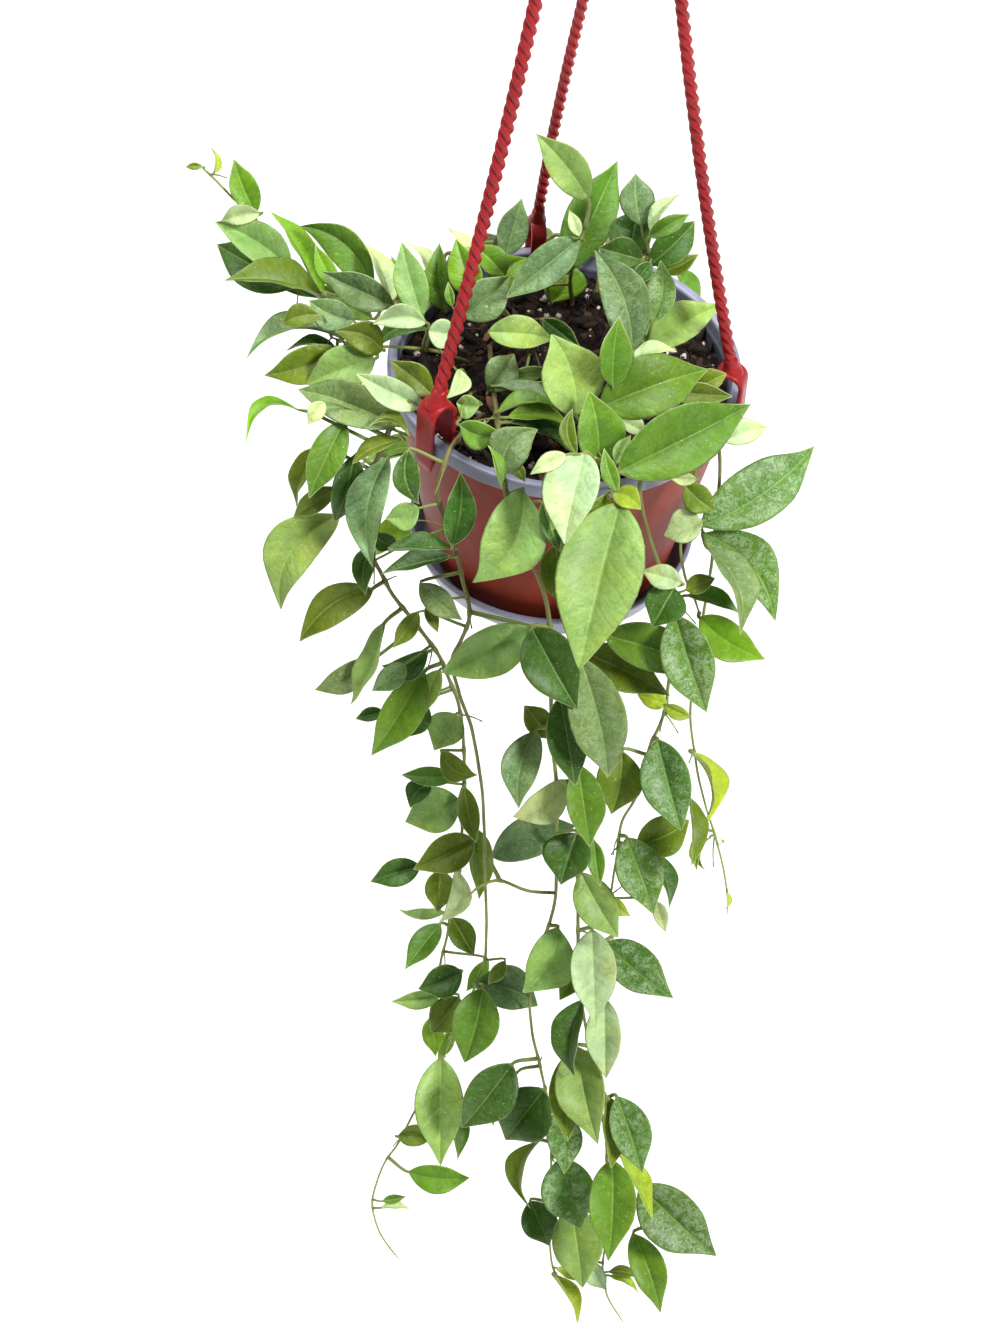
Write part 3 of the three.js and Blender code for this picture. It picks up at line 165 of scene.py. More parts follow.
plants = {
    "shoot_upper_left": plant("oyybpldobd", [
        stem(2.6, 1.3, [[456, 340, -8], [428, 331, 6], [405, 318, 12]], [[378, 303, -28], [346, 297, -31],
            [318, 291, -33], [298, 279, -35], [280, 257, -38], [263, 231, -41], [251, 213, -43], [234, 199, -45],
            [216, 180, -47], [202, 167, -49]])], [
        [203, 167, 185, 167, 8, 4], [214, 172, 213, 147, 6, 6], [215, 172, 223, 166, 5, 0],
        [256, 213, 234, 159, 28, -4], [260, 213, 220, 221, 21, 10], [291, 271, 215, 223, 39, 6],
        [300, 284, 215, 240, 53, -6], [322, 298, 226, 284, 29, 0], [320, 296, 272, 208, 21, -4],
        [318, 297, 235, 272, 30, 0]]),
    "spray_left_back": plant("gbsrplpgg", [
        stem(2.4, 1.4, [[478, 312, -8], [452, 303, 5], [430, 301, 9], [408, 300, 12]], [[384, 296, -32]]),
        stem(1.8, 1.3, [[430, 301, 9], [428, 308, 16], [421, 312, 22]], [], False)], [
        [373, 290, 299, 225, 37, 18], [338, 290, 315, 244, 20, -5], [393, 305, 321, 272, 35, 0],
        [372, 319, 317, 284, 28, 1], [392, 302, 368, 242, 20, 1], [422, 316, 402, 242, 33, -2],
        [431, 300, 406, 240, 21, 13], [398, 300, 391, 255, 16, -1], [446, 310, 439, 246, 31, -2]]),
    "spray_left": plant("ssoolodpd", [
        stem(2.4, 1.3, [[468, 362, -8], [440, 352, 5], [412, 348, 12]], [[386, 346, 6], [366, 347, 6], [346, 343, 6],
            [330, 337, 5]])], [
        [354, 321, 309, 300, 33, -8], [342, 338, 247, 360, 22, 15], [319, 315, 280, 325, 24, 8],
        [343, 351, 263, 375, 37, -4], [375, 359, 305, 384, 45, 2], [382, 350, 336, 333, 33, 15],
        [335, 348, 285, 347, 11, 0], [426, 322, 372, 325, 26, 15], [428, 330, 374, 347, 20, 11]]),
    "vine_left_long": plant("spopgodolsooddolsdsglddlogdlooopdogldlobobbb", [
        stem(2.8, 1.4, [[452, 392, -8], [430, 394, 6], [408, 402, 12]], [[394, 418, 38], [386, 440, 45],
            [372, 470, 49], [358, 505, 51], [360, 540, 52], [378, 568, 53], [392, 594, 54], [414, 622, 55],
            [437, 652, 56], [449, 680, 56], [459, 706, 56], [463, 745, 57], [464, 790, 57], [462, 835, 57],
            [459, 875, 57], [450, 920, 57], [441, 962, 57], [431, 1008, 57], [430, 1036, 57]])], [
        [398, 425, 296, 385, 46, 0], [422, 407, 356, 374, 30, 0], [432, 395, 390, 361, 31, 4],
        [324, 402, 308, 425, 18, 4], [345, 421, 308, 499, 36, 0], [320, 448, 291, 506, 22, 0],
        [354, 456, 334, 523, 34, -1], [336, 488, 292, 516, 23, -2], [338, 515, 278, 611, 52, 18],
        [388, 458, 374, 569, 41, 12], [399, 441, 351, 462, 16, -1], [409, 436, 369, 425, 13, 24],
        [372, 546, 365, 595, 24, 9], [396, 545, 375, 531, 20, -19], [372, 589, 301, 643, 38, 14],
        [384, 624, 346, 703, 21, -12], [372, 660, 313, 690, 28, -8], [428, 652, 381, 665, 26, -19],
        [405, 664, 372, 691, 25, -2], [424, 672, 371, 758, 41, 0], [440, 670, 424, 714, 24, 4],
        [425, 702, 402, 738, 30, -6], [384, 712, 355, 719, 15, 0], [456, 714, 434, 750, 38, 0],
        [441, 752, 478, 775, 25, 20], [454, 778, 401, 775, 20, 0], [431, 784, 410, 808, 24, 16],
        [459, 800, 405, 822, 46, -4], [464, 787, 476, 843, 22, 2], [474, 840, 414, 869, 38, -1],
        [440, 870, 438, 913, 31, 1], [457, 870, 438, 922, 23, -24], [420, 866, 370, 882, 28, 2],
        [452, 918, 474, 956, 26, 0], [440, 924, 405, 969, 26, 0], [444, 913, 399, 907, 10, -21],
        [462, 972, 418, 989, 33, -4], [440, 995, 391, 1001, 19, 0], [459, 997, 431, 1034, 37, 0],
        [430, 1018, 435, 1056, 22, -5], [470, 826, 478, 900, 23, 3], [488, 960, 466, 992, 16, 0],
        [452, 1030, 438, 1060, 14, 0], [298, 410, 246, 446, 12, 30]]),
    "vine_left_front": plant("dldddsoolsgolgobgp", [
        stem(2.6, 1.2, [[483, 414, -8], [464, 430, 5], [452, 446, 12]], [[444, 466, 75], [437, 490, 79],
            [444, 518, 79], [455, 548, 78], [463, 580, 78], [470, 612, 78], [461, 640, 78], [452, 662, 79],
            [459, 692, 80], [470, 724, 80], [478, 762, 80], [483, 802, 80], [485, 872, 80], [486, 950, 79],
            [479, 976, 78], [467, 1005, 77], [453, 1034, 75], [445, 1053, 74], [433, 1084, 73], [416, 1110, 72],
            [401, 1138, 72], [386, 1160, 71], [375, 1188, 71], [373, 1211, 70], [382, 1236, 70], [399, 1259, 70]])], [
        [408, 450, 420, 505, 28, 16], [419, 508, 385, 518, 29, -8], [452, 545, 460, 472, 32, 6],
        [388, 550, 458, 545, 16, 5], [450, 557, 381, 574, 21, 0], [420, 584, 462, 621, 27, 0],
        [418, 612, 393, 649, 20, 1], [426, 606, 438, 633, 13, -2], [533, 629, 441, 672, 50, 0],
        [475, 984, 538, 1007, 44, -9], [483, 988, 464, 1064, 47, -3], [505, 961, 488, 985, 15, 2],
        [441, 1058, 440, 1166, 49, 0], [449, 1108, 459, 1159, 16, 0], [398, 1136, 435, 1139, 24, -14],
        [409, 1172, 470, 1178, 29, 4], [383, 1201, 406, 1196, 10, 0], [381, 1208, 410, 1208, 7, 0]]),
    "vine_centre": plant("slsbdsgolddospsdldgdomdmlyyg", [
        stem(3, 1.3, [[490, 346, -8], [492, 372, 3], [496, 405, 7], [499, 440, 9], [502, 468, 12]], [[506, 492, 82],
            [514, 524, 88], [532, 562, 90], [547, 604, 91], [551, 650, 91], [551, 700, 91], [553, 745, 91],
            [557, 790, 91], [556, 840, 91], [556, 893, 91], [550, 922, 91], [541, 946, 91], [532, 975, 91],
            [530, 1006, 91], [532, 1034, 91], [539, 1062, 91], [546, 1092, 91], [550, 1122, 91], [551, 1180, 91],
            [549, 1235, 91], [553, 1266, 91], [562, 1284, 91]]),
        stem(2.2, 1.6, [], [[556, 893, 91], [530, 891, 95], [500, 881, 99], [480, 887, 100],
            [467, 898, 99]], False)], [
        [489, 391, 515, 353, 36, 0], [508, 378, 551, 369, 17, 0], [495, 387, 557, 406, 15, 1],
        [508, 418, 574, 424, 20, -8], [509, 423, 578, 459, 21, -8], [503, 472, 538, 430, 43, -24],
        [500, 484, 489, 444, 13, 0], [514, 464, 525, 482, 13, 0], [523, 491, 472, 583, 64, -17],
        [543, 503, 560, 552, 22, 2], [532, 628, 577, 709, 56, 0], [548, 738, 524, 705, 27, 2],
        [536, 731, 519, 809, 38, 10], [568, 781, 511, 816, 35, -17], [492, 856, 576, 826, 43, -11],
        [577, 833, 560, 885, 49, 0], [558, 928, 522, 993, 49, -12], [512, 1064, 461, 1130, 50, 0],
        [518, 1072, 490, 1127, 18, 0], [545, 1089, 504, 1143, 58, 0], [538, 1142, 527, 1209, 18, 14],
        [556, 1112, 564, 1173, 36, -7], [530, 1201, 550, 1247, 36, 0], [561, 1158, 581, 1229, 53, 0],
        [571, 1207, 583, 1287, 50, 0], [553, 1275, 582, 1322, 10, 0], [556, 1268, 576, 1281, 8, 2],
        [498, 413, 558, 402, 15, 0]]),
    "vine_centre_right": plant("oylosdglgppodolommygpoygo", [
        stem(3, 1.4, [[612, 436, -8], [615, 456, 4], [617, 474, 11]], [[619, 500, 83], [616, 540, 92], [604, 584, 95],
            [590, 622, 96], [581, 660, 96], [577, 705, 96], [576, 760, 96], [578, 830, 96], [578, 900, 96],
            [578, 958, 96], [582, 1002, 96], [590, 1046, 96], [602, 1088, 96], [614, 1130, 96], [625, 1165, 96],
            [638, 1188, 96], [654, 1214, 96], [663, 1240, 96]]),
        stem(1.9, 1.2, [], [[590, 1046, 96], [598, 1092, 99], [606, 1140, 101], [607, 1190, 101], [606, 1240, 100],
            [603, 1270, 99], [607, 1296, 98], [623, 1322, 97]], False)], [
        [607, 494, 590, 540, 27, 0], [613, 493, 641, 510, 25, -15], [620, 503, 578, 669, 86, 0],
        [555, 545, 569, 612, 38, 0], [580, 658, 610, 783, 57, -3], [560, 697, 576, 788, 40, 0],
        [578, 765, 591, 849, 39, 2], [581, 873, 618, 939, 41, 0], [594, 841, 600, 887, 18, 0],
        [592, 930, 595, 1026, 46, 0], [605, 999, 606, 1080, 36, 0], [578, 962, 559, 1000, 24, 0],
        [583, 1000, 570, 1078, 28, 0], [564, 1058, 568, 1142, 35, 2], [576, 1047, 596, 1142, 50, 0],
        [605, 1095, 612, 1168, 25, 0], [617, 1097, 643, 1173, 40, 0], [640, 1186, 716, 1257, 58, 0],
        [617, 1150, 654, 1219, 17, 1], [612, 1160, 608, 1259, 47, -2], [590, 1262, 607, 1290, 21, 4],
        [609, 1272, 640, 1276, 10, -2], [610, 1276, 639, 1294, 9, -4], [633, 1234, 660, 1312, 34, -4],
        [562, 480, 552, 532, 21, 0]]),
    "vine_right_front": plant("pdogmgoyyomoomdpym", [
        stem(2.7, 1.3, [[662, 430, -8], [653, 450, 5], [644, 467, 12]], [[640, 494, 79], [648, 530, 86],
            [658, 562, 88], [668, 582, 88], [675, 604, 87], [673, 645, 86], [668, 690, 85], [661, 724, 85],
            [649, 748, 85], [646, 776, 86], [634, 801, 87], [622, 822, 88], [618, 850, 89], [612, 882, 89],
            [610, 908, 89], [613, 940, 89]])], [
        [682, 583, 641, 570, 26, 0], [674, 588, 652, 628, 43, 2], [686, 590, 715, 578, 20, -2],
        [688, 596, 740, 615, 19, -1], [675, 616, 706, 713, 52, 0], [605, 635, 713, 670, 47, 0],
        [584, 652, 669, 695, 45, 0], [667, 705, 637, 694, 20, 0], [690, 717, 662, 704, 15, 0],
        [622, 751, 611, 815, 47, -6], [658, 740, 682, 831, 50, 0], [637, 845, 690, 820, 41, 6],
        [690, 799, 694, 865, 17, 6], [627, 838, 654, 914, 47, 0], [645, 852, 670, 907, 18, -7],
        [655, 901, 666, 932, 15, 2], [609, 896, 631, 916, 16, 4], [606, 943, 673, 997, 45, 4]]),
    "vine_right": plant("mmsoppb", [
        stem(2.5, 1.3, [[682, 425, -8], [692, 440, 5], [697, 452, 12]], [[694, 478, 64], [686, 510, 70],
            [681, 546, 72], [684, 575, 72], [694, 598, 71], [700, 615, 70]]),
        stem(1.9, 1.4, [], [[686, 510, 70], [700, 524, 66], [704, 538, 64]], False)], [
        [702, 526, 816, 444, 58, 8], [704, 534, 775, 619, 48, -12], [707, 548, 744, 633, 33, -6],
        [685, 485, 717, 512, 29, 5], [703, 521, 663, 535, 36, -4], [696, 479, 668, 478, 13, 0],
        [700, 618, 765, 659, 40, 8]]),
    "vine_far_right": plant("pyyyyy", [
        stem(2.2, 1.1, [[698, 408, -8], [707, 423, 5], [715, 436, 11]], [[720, 454, 45], [718, 494, 51],
            [712, 560, 54], [700, 640, 55], [690, 710, 55], [696, 765, 55], [706, 806, 55], [715, 835, 55],
            [723, 868, 55], [727, 892, 55], [727, 915, 55]])], [
        [724, 441, 769, 427, 25, -6], [690, 752, 709, 829, 8, -15], [710, 838, 706, 871, 9, 19],
        [707, 832, 696, 870, 11, 2], [722, 842, 724, 840, 5, 1], [727, 892, 726, 910, 6, -2]]),
    "spray_top_right": plant("ddspgdodd", [
        stem(2.6, 1.5, [[640, 306, -8], [643, 294, 8], [646, 284, 26], [646, 270, 42], [648, 252, 56]])], [
        [633, 262, 643, 205, 44, -5], [642, 260, 598, 247, 35, -2], [641, 226, 636, 173, 36, -7],
        [651, 232, 679, 194, 14, 0], [649, 237, 690, 214, 19, 0], [650, 265, 696, 219, 34, 3],
        [662, 272, 699, 254, 18, 6], [640, 330, 642, 273, 25, 0], [650, 262, 634, 284, 18, 0]]),
    "spray_top_centre": plant("gslbsp", [
        stem(2.8, 1.5, [[572, 300, -8], [570, 284, 10], [571, 270, 28], [577, 252, 44], [586, 226, 58]]),
        stem(1.9, 1.5, [[570, 284, 10], [550, 285, 6], [528, 290, 4], [508, 295, 3]], [], False)], [
        [566, 271, 618, 159, 49, 1], [579, 239, 505, 299, 38, 0], [588, 199, 536, 135, 38, 4],
        [552, 302, 561, 255, 42, 24], [505, 256, 522, 198, 31, 0], [579, 236, 569, 210, 14, 1]]),
    "spray_back_left": plant("pbgbsg", [
        stem(2.5, 1.4, [[512, 320, -8], [500, 308, 5], [482, 304, 14], [464, 306, 20]]),
        stem(1.8, 1.4, [[500, 308, 5], [500, 292, 16], [502, 274, 24]], [], False)], [
        [476, 275, 450, 224, 20, 0], [474, 298, 456, 239, 34, 0], [505, 276, 471, 244, 29, 0],
        [500, 291, 529, 257, 31, -17], [463, 317, 510, 276, 42, 2], [452, 306, 448, 282, 10, 0]]),
    "spray_middle": plant("ldg", [
        stem(2.2, 1.5, [[530, 352, -8], [532, 345, 2], [538, 340, 8], [548, 338, 12]])], [
        [488, 332, 556, 339, 34, -2], [543, 319, 581, 348, 23, 0], [526, 388, 560, 389, 13, 0]]),
    "spray_centre": plant("lsgdggo", [
        stem(2.8, 1.6, [[592, 436, -8], [594, 424, 8], [598, 412, 20], [610, 396, 30], [628, 368, 38]]),
        stem(2, 1.6, [[594, 424, 8], [596, 438, 16], [597, 452, 22]], [], False)], [
        [576, 416, 552, 334, 64, 7], [632, 352, 594, 249, 48, 9], [613, 386, 619, 317, 34, -5],
        [604, 366, 617, 341, 14, 0], [599, 408, 711, 367, 62, -1], [598, 464, 589, 392, 48, 3],
        [576, 453, 573, 408, 17, -17]]),
    "spray_right": plant("mlpoo", [
        stem(2.4, 1.4, [[652, 366, -8], [648, 356, 6], [646, 348, 16], [648, 338, 26]]),
        stem(1.8, 1.3, [[648, 356, 6], [668, 362, 10], [692, 376, 12]], [], False)], [
        [652, 322, 660, 260, 30, 11], [641, 345, 723, 304, 41, 0], [630, 360, 677, 352, 15, -8],
        [700, 386, 726, 373, 23, 4], [672, 392, 732, 397, 25, 0]]),
    "spray_front_right": plant("glpppg", [
        stem(2.8, 1.8, [[632, 446, -8], [626, 456, 8], [619, 463, 20], [606, 461, 28], [590, 456, 33]])], [
        [618, 472, 753, 403, 65, 0], [616, 464, 631, 434, 18, 0], [621, 421, 648, 434, 20, 0],
        [585, 453, 565, 546, 58, 1], [566, 455, 530, 474, 20, 0], [617, 491, 604, 448, 17, -5]]),
    "spray_front_left": plant("lgpp", [
        stem(2.3, 1.4, [[474, 392, -8], [468, 398, 5], [462, 408, 12], [460, 420, 16]])], [
        [480, 405, 456, 402, 25, -8], [460, 425, 502, 432, 29, 16], [460, 370, 445, 399, 20, -23, 8],
        [428, 331, 459, 334, 31, 0]]),
}
# Azimuth about the pot, length below the rim and seed of each vine that the photograph doesn't show
hidden = {"vine_back_right": (65, 190, 29), "vine_back_1": (79, 165, 23), "vine_back_2": (93, 215, 31),
          "vine_back_3": (115, 180, 47), "vine_back_left": (133, 205, 61)}
hanger = {"arms": [{"angle": 104, "swing": -10, "slim": 0.84, "clip": 6.5},
                   {"angle": 224, "swing": 0, "slim": 1.0, "clip": 10.6},
                   {"angle": 348, "swing": 0, "slim": 0.92, "clip": 10.6}],
          "foot": (71.6, 17.6), "head": (8.5, 385), "bow": -6, "radius": 3.1, "pitch": 17,
          "strand": 1.5, "strandOffset": 1.54, "rings": 380, "around": 36,
          "thick": 2.4, "inside": 66.2, "bend": 12.5, "innerLeg": -6, "outerLeg": -15,
          "barb": 1.8, "squareness": 0.42, "gap": 0.3, "hookWire": 2.9, "hookRadius": 17, "hookCentre": 424}


# Height of the mix's top: a low mound, with lumps from two products of sines
def mixTop(x, y):
    r = np.hypot(x, y)
    return (-pot["mixDepth"] + 2 * np.cos(r / 70 * math.pi / 2)
            + 0.9 * np.sin(x * 0.31 + 1.3) * np.cos(y * 0.27 - 0.4) + 0.6 * np.sin(x * 0.13 - y * 0.17))


# The pot's radius outside at a height: the rim's band, and below it a straight taper to the foot
def outerRadius(z):
    below = pot["underRim"] + (pot["underRim"] - pot["base"]) * (z + pot["rimHeight"]) / (
        pot["height"] - pot["rimHeight"])
    return np.where(z > -pot["rimHeight"], pot["rim"], below)


def innerRadius(z):
    return np.where(z > -pot["rimHeight"], pot["rim"] - pot["rimWidth"], outerRadius(z) - pot["wall"])


# Points turned about the upright axis: x cosine less y sine, and x sine plus y cosine
def turnedAbout(points, angle):
    c, s = math.cos(math.radians(angle)), math.sin(math.radians(angle))
    x, y, z = np.moveaxis(np.asarray(points, float), -1, 0)
    return np.stack([x * c - y * s, x * s + y * c, z], axis=-1)


# An arm's middle line along +X, then turned to its place: straight from foot to head, bowed by a
# parabola, and swung aside by a sine of t squared
def armLine(arm, t):
    t = np.asarray(t, float)
    (footRadius, footHeight), (headRadius, headHeight) = hanger["foot"], hanger["head"]
    r = footRadius + (headRadius - footRadius) * t + hanger["bow"] * 4 * t * (1 - t)
    z = footHeight + (headHeight - footHeight) * t
    return np.stack([r, arm["swing"] * np.sin(math.pi * t * t), z], axis=-1)


def armPoint(arm, t):
    return turnedAbout(armLine(arm, t), arm["angle"])


# Places along a stem: straight ones, which settle the leaves, and those of the smooth curve through
# the same points (uniform Catmull-Rom), which the finer stem follows
def placesOn(points, pieces=8):
    line = [a + (b - a) * (s / pieces) for a, b in zip(points[:-1], points[1:]) for s in range(pieces)]
    return np.array(line + [points[-1]])


def curveThrough(points, pieces=8):
    p = np.array(points)
    p = np.concatenate([[2 * p[0] - p[1]], p, [2 * p[-1] - p[-2]]])
    t = (np.arange(pieces) / pieces)[None, :, None]
    a, b, c, d = (p[k:len(p) - 3 + k, None, :] for k in range(4))
    line = 0.5 * (2 * b + (c - a) * t + (2 * a - 5 * b + 4 * c - d) * t ** 2
                  + (3 * b - a - 3 * c + d) * t ** 3)
    return np.concatenate([line.reshape(-1, 3), p[-2:-1]])


# Half width of a blade along its length: broadest before the middle, with a drawn-out point
def bladeWidth(u):
    return np.power(u, 0.72) * np.power(1 - u, 0.95) / 0.3193


# A point of a blade's middle surface: the midrib arches, the sides rise, and it twists on its midrib
def bladePoint(leaf, u, v, half=None, lift=0):
    u, v = np.broadcast_arrays(np.asarray(u, float), np.asarray(v, float))
    hump = 4 * u * (1 - u) * leaf["length"]
    reach = (leaf["half"] * bladeWidth(u) if half is None else half) * v
    turn = leaf["twist"] * (u - 0.3)
    middle = (leaf["base"] + np.multiply.outer(leaf["length"] * u, leaf["along"])
              + np.multiply.outer(hump * leaf["arch"] + np.abs(reach) * leaf["cup"] + lift, leaf["normal"])
              + np.multiply.outer(hump * leaf["bend"], leaf["side"]))
    return (middle + np.multiply.outer(reach * np.cos(turn), leaf["side"])
            + np.multiply.outer(reach * np.sin(turn), leaf["normal"]))


# Settling: a leaf slides along the line of sight, and leans, until it is clear of what is there
settling = {"slides": [0, 6, -6, 12, -12, 18, -18, 24, -24, 30], "leans": [0, 0.22, -0.22],
            "bladePoints": 40, "beforeStem": 4, "nearRoot": 10, "ownReach": 3.2, "leafReach": 5, "stemReach": 4.2,
            "costs": {"pot": 12, "leaf": 40, "stem": 15, "hanger": 30, "own": 1},
            "proportion": 0.46, "besideRim": (20, 46), "bearable": 12,
            "steepDrops": (2.6, 3.4, 1.9), "commonDrops": (0.75, 0.35, 1.3, 0, 2)}
taken = []


# Takes room: points, how near a leaf may come to them, and what it costs a leaf to come nearer
def crowd(points, reach, owner, cost, stem=False):
    middle = points.mean(axis=0)
    taken.append({"points": points, "middle": middle, "reach": reach, "owner": owner, "cost": cost,
                  "radius": np.linalg.norm(points - middle, axis=1).max(), "stem": stem})


# Eight rows of five points over the blade, then two on its petiole
def leafPoints(leaf):
    u = np.repeat(0.08 + 0.125 * np.arange(8), 5)
    v = np.tile(-1 + 0.5 * np.arange(5), 8)
    stalk = [leaf["root"] + (leaf["base"] - leaf["root"]) * s for s in (0.45, 0.8)]
    return np.concatenate([bladePoint(leaf, u, v), stalk])


# True for points in the walls, mix or saucer or too near them, and not in the room above the mix
def inPot(p):
    r, z = np.hypot(p[:, 0], p[:, 1]), p[:, 2]
    high = pot["height"]
    inside = (r < innerRadius(z) - 2.5) & (z > mixTop(p[:, 0], p[:, 1]) + 2.2)
    within = np.where(z < -high + 18, r < saucer["radius"] + 3, (r <= outerRadius(z) + 2.8) & ~inside)
    return within & (z <= 3) & (z >= -high - 20)


# The sum of the costs of all that a leaf comes too near to
def trouble(leaf, owner):
    points = leafPoints(leaf)
    costs = settling["costs"]
    total = costs["pot"] * int(inPot(points).sum())
    middle = bladePoint(leaf, 0.45, 0)
    size = leaf["length"] * 0.62 + np.linalg.norm(leaf["root"] - leaf["base"])
    for other in taken:
        if np.linalg.norm(other["middle"] - middle) > other["radius"] + size + 6:
            continue
        own = other["owner"] == owner
        start = settling["nearRoot"] if own and other["stem"] else 0
        tested = points[start:settling["bladePoints"] if own else None]
        limit = min(other["reach"], settling["ownReach"]) if own else other["reach"]
        apart = ((tested[:, None] - other["points"][None]) ** 2).sum(axis=2).min()
        if apart < limit * limit:
            total += costs["own"] if own else other["cost"]
    return total


# Takes the first of the leaves tried that is clear of everything, or else the one in least trouble
def settled(tries, owner, bearable=math.inf):
    best, found = None, math.inf
    for leaf in tries:
        cost = trouble(leaf, owner)
        if cost < found:
            best, found = leaf, cost
        if cost == 0:
            break
    if found < bearable:
        blade = leafPoints(best)[:settling["bladePoints"]]
        crowd(blade, settling["leafReach"], owner, settling["costs"]["leaf"])
        return [best]
    return []


# A leaf's measures, with the cup and the twist of its blade from the draws
def newLeaf(stem, root, base, along, length, half, normal, arch, bend, draws):
    return {"stem": stem, "root": root, "base": base, "along": along, "length": length, "half": half,
            "normal": normal, "side": np.cross(along, normal), "arch": arch, "bend": bend,
            "cup": 0.12 + draws[3] * 0.3, "twist": (draws[2] - draws[3]) * 0.7}


# A leaf's own directions. A blade that looks narrow is a common one turned on its midrib.
def shapeLeaf(stem, root, base, tip, ratio, flat, bow, draws):
    along = tip - base
    length = np.linalg.norm(along)
    along = along / length
    normal = unit(np.cross(unit(np.cross(along, ahead)), along))
    if normal @ ahead > 0:
        normal = -normal
    side = np.cross(along, normal)
    turn = (draws[1] - 0.5) * 0.5
    half = ratio * flat / 2
    if ratio < 0.36:
        turn = math.acos(max(0.34, ratio / settling["proportion"])) * (1 if side[2] > 0 else -1)
        half = settling["proportion"] * flat / 2
    normal = normal * math.cos(turn) + side * math.sin(turn)
    return newLeaf(stem, root, base, along, length, half, normal, 0.02 + draws[2] * 0.09,
                   bow / math.cos(turn), draws)


# A leaf from its row: its root is the place on a stem that lies nearest its base in the picture, and its
# depth is that of its root
def leafAsSeen(row, stems, random, owner):
    baseX, baseY, tipX, tipY, wide, bow = row[:6]
    nearest = math.inf
    for stem in stems:
        away = np.linalg.norm(stem["pixels"] - (baseX, baseY), axis=1)
        k = int(away.argmin())
        if away[k] < nearest:
            nearest, root, rootPlace = away[k], stem["straight"][k], (stem, k)
    draws = [random() for k in range(5)]
    depth = (root - eye) @ ahead
    tall = math.hypot(tipX - baseX, tipY - baseY)

    def tries():
        for slide in settling["slides"]:
            there = depth - settling["beforeStem"] - slide
            base, reach = atDepth(baseX, baseY, there), atDepth(tipX, tipY, there)
            flat = np.linalg.norm(reach - base)
            for extra in settling["leans"]:
                forward = (row[6] if len(row) > 6 else (draws[0] - 0.4) * 0.35 * flat) + extra * flat
                yield shapeLeaf(rootPlace, root, base, reach - ahead * forward, wide / tall, flat,
                                bow / 100, draws)
    return settled(tries(), owner)[0]


# A stem that leaves the mix, crosses the rim at an azimuth and hangs down outside, swaying a little
def trailing(azimuth, drop, seed):
    random = seeded(seed)

    def sway():
        return (random() - 0.5) * 12

    def place(r, z, shift=0.0):
        return turnedAbout([r, shift, z], azimuth)
    lean = sway()
    foot = place(56, 0)
    foot[2] = mixTop(foot[0], foot[1]) + 2
    points = [foot, place(62, 0), place(71, 6.5), place(80, 4), place(85, -12, lean * 0.3)]
    for z in range(-40, -drop, -38):
        out = 84 + sway() * 0.4
        points.append(place(out, z, lean + sway() * 0.6))
    return points


# Leaves in pairs down such a stem. The first ones, beside the rim, hang down steeply.
def trailingLeaves(stem, azimuth, seed, owner, spacing=38):
    random = seeded(seed + 7)
    line = stem["straight"]
    up = np.array([0.0, 0.0, 1.0])
    leaves, run, pair = [], 0, 0
    for k in range(1, len(line)):
        run += np.linalg.norm(line[k] - line[k - 1])
        if run < spacing or k < settling["besideRim"][0]:
            continue
        run, pair = 0, pair + 1
        fall = unit(line[min(k + 1, len(line) - 1)] - line[k - 1])
        for way in (-1, 1):
            draws = [random() for d in range(5)]
            turn = azimuth + way * (62 if pair % 2 else 22) + (draws[0] - 0.5) * 34
            length = (46 - 14 * k / len(line)) * (0.82 + 0.36 * draws[1])
            drops = settling["steepDrops" if k < settling["besideRim"][1] else "commonDrops"]

            def tries():
                for drop in drops:
                    for swing in (0, 24, -24, 48, -48):
                        facing = turnedAbout([1.0, 0, 0], turn + swing)
                        along = unit(facing - up * drop)
                        normal = np.cross(unit(np.cross(along, up)), along)
                        yield newLeaf((stem, k), line[k], line[k] + facing * 8 + fall * 3, along, length,
                                      length * settling["proportion"] / 2, normal,
                                      0.03 + draws[2] * 0.08, (draws[4] - 0.5) * 0.1, draws)
            leaves += settled(tries(), owner, settling["bearable"])
    return leaves


# The arms and stems take their room first, then the leaves in turn
def settlePlants():
    for arm in hanger["arms"]:
        crowd(armPoint(arm, np.arange(63) * 0.016), hanger["radius"] + 3.2, "arm", settling["costs"]["hanger"])
        heights = np.arange(hanger["outerLeg"], hanger["bend"] + 6.01, 5)
        feet = [(70.8, shift, z) for z in heights for shift in (-5, 0, 5)]
        crowd(turnedAbout(feet, arm["angle"]), 9.5, "clip", settling["costs"]["hanger"])
    for name, row in hidden.items():
        plants[name] = plant("", [stem(2.4, 1.2, [])], [])
        plants[name]["stems"][0]["points"] = trailing(*row)
    for name, grown in plants.items():
        for stalk in grown["stems"]:
            if "points" not in stalk:
                stalk["points"] = ([level(*row) for row in stalk["level"]]
                                   + [front(*row) for row in stalk["front"]])
            stalk["straight"] = placesOn(stalk["points"])
            stalk["smooth"] = curveThrough(stalk["points"])
            stalk["pixels"] = pixelsOf(stalk["straight"][:-1])
            crowd(stalk["straight"], settling["stemReach"], name, settling["costs"]["stem"], stem=True)
    for k, (name, grown) in enumerate(plants.items()):
        random = seeded(101 + 17 * k)
        grown["made"] = [leafAsSeen(row, grown["stems"], random, name) for row in grown["leaves"]]
    for name, (azimuth, drop, seed) in hidden.items():
        plants[name]["made"] = trailingLeaves(plants[name]["stems"][0], azimuth, seed, name)


settlePlants()
print("leaves settled:", sum(len(grown["made"]) for grown in plants.values()))


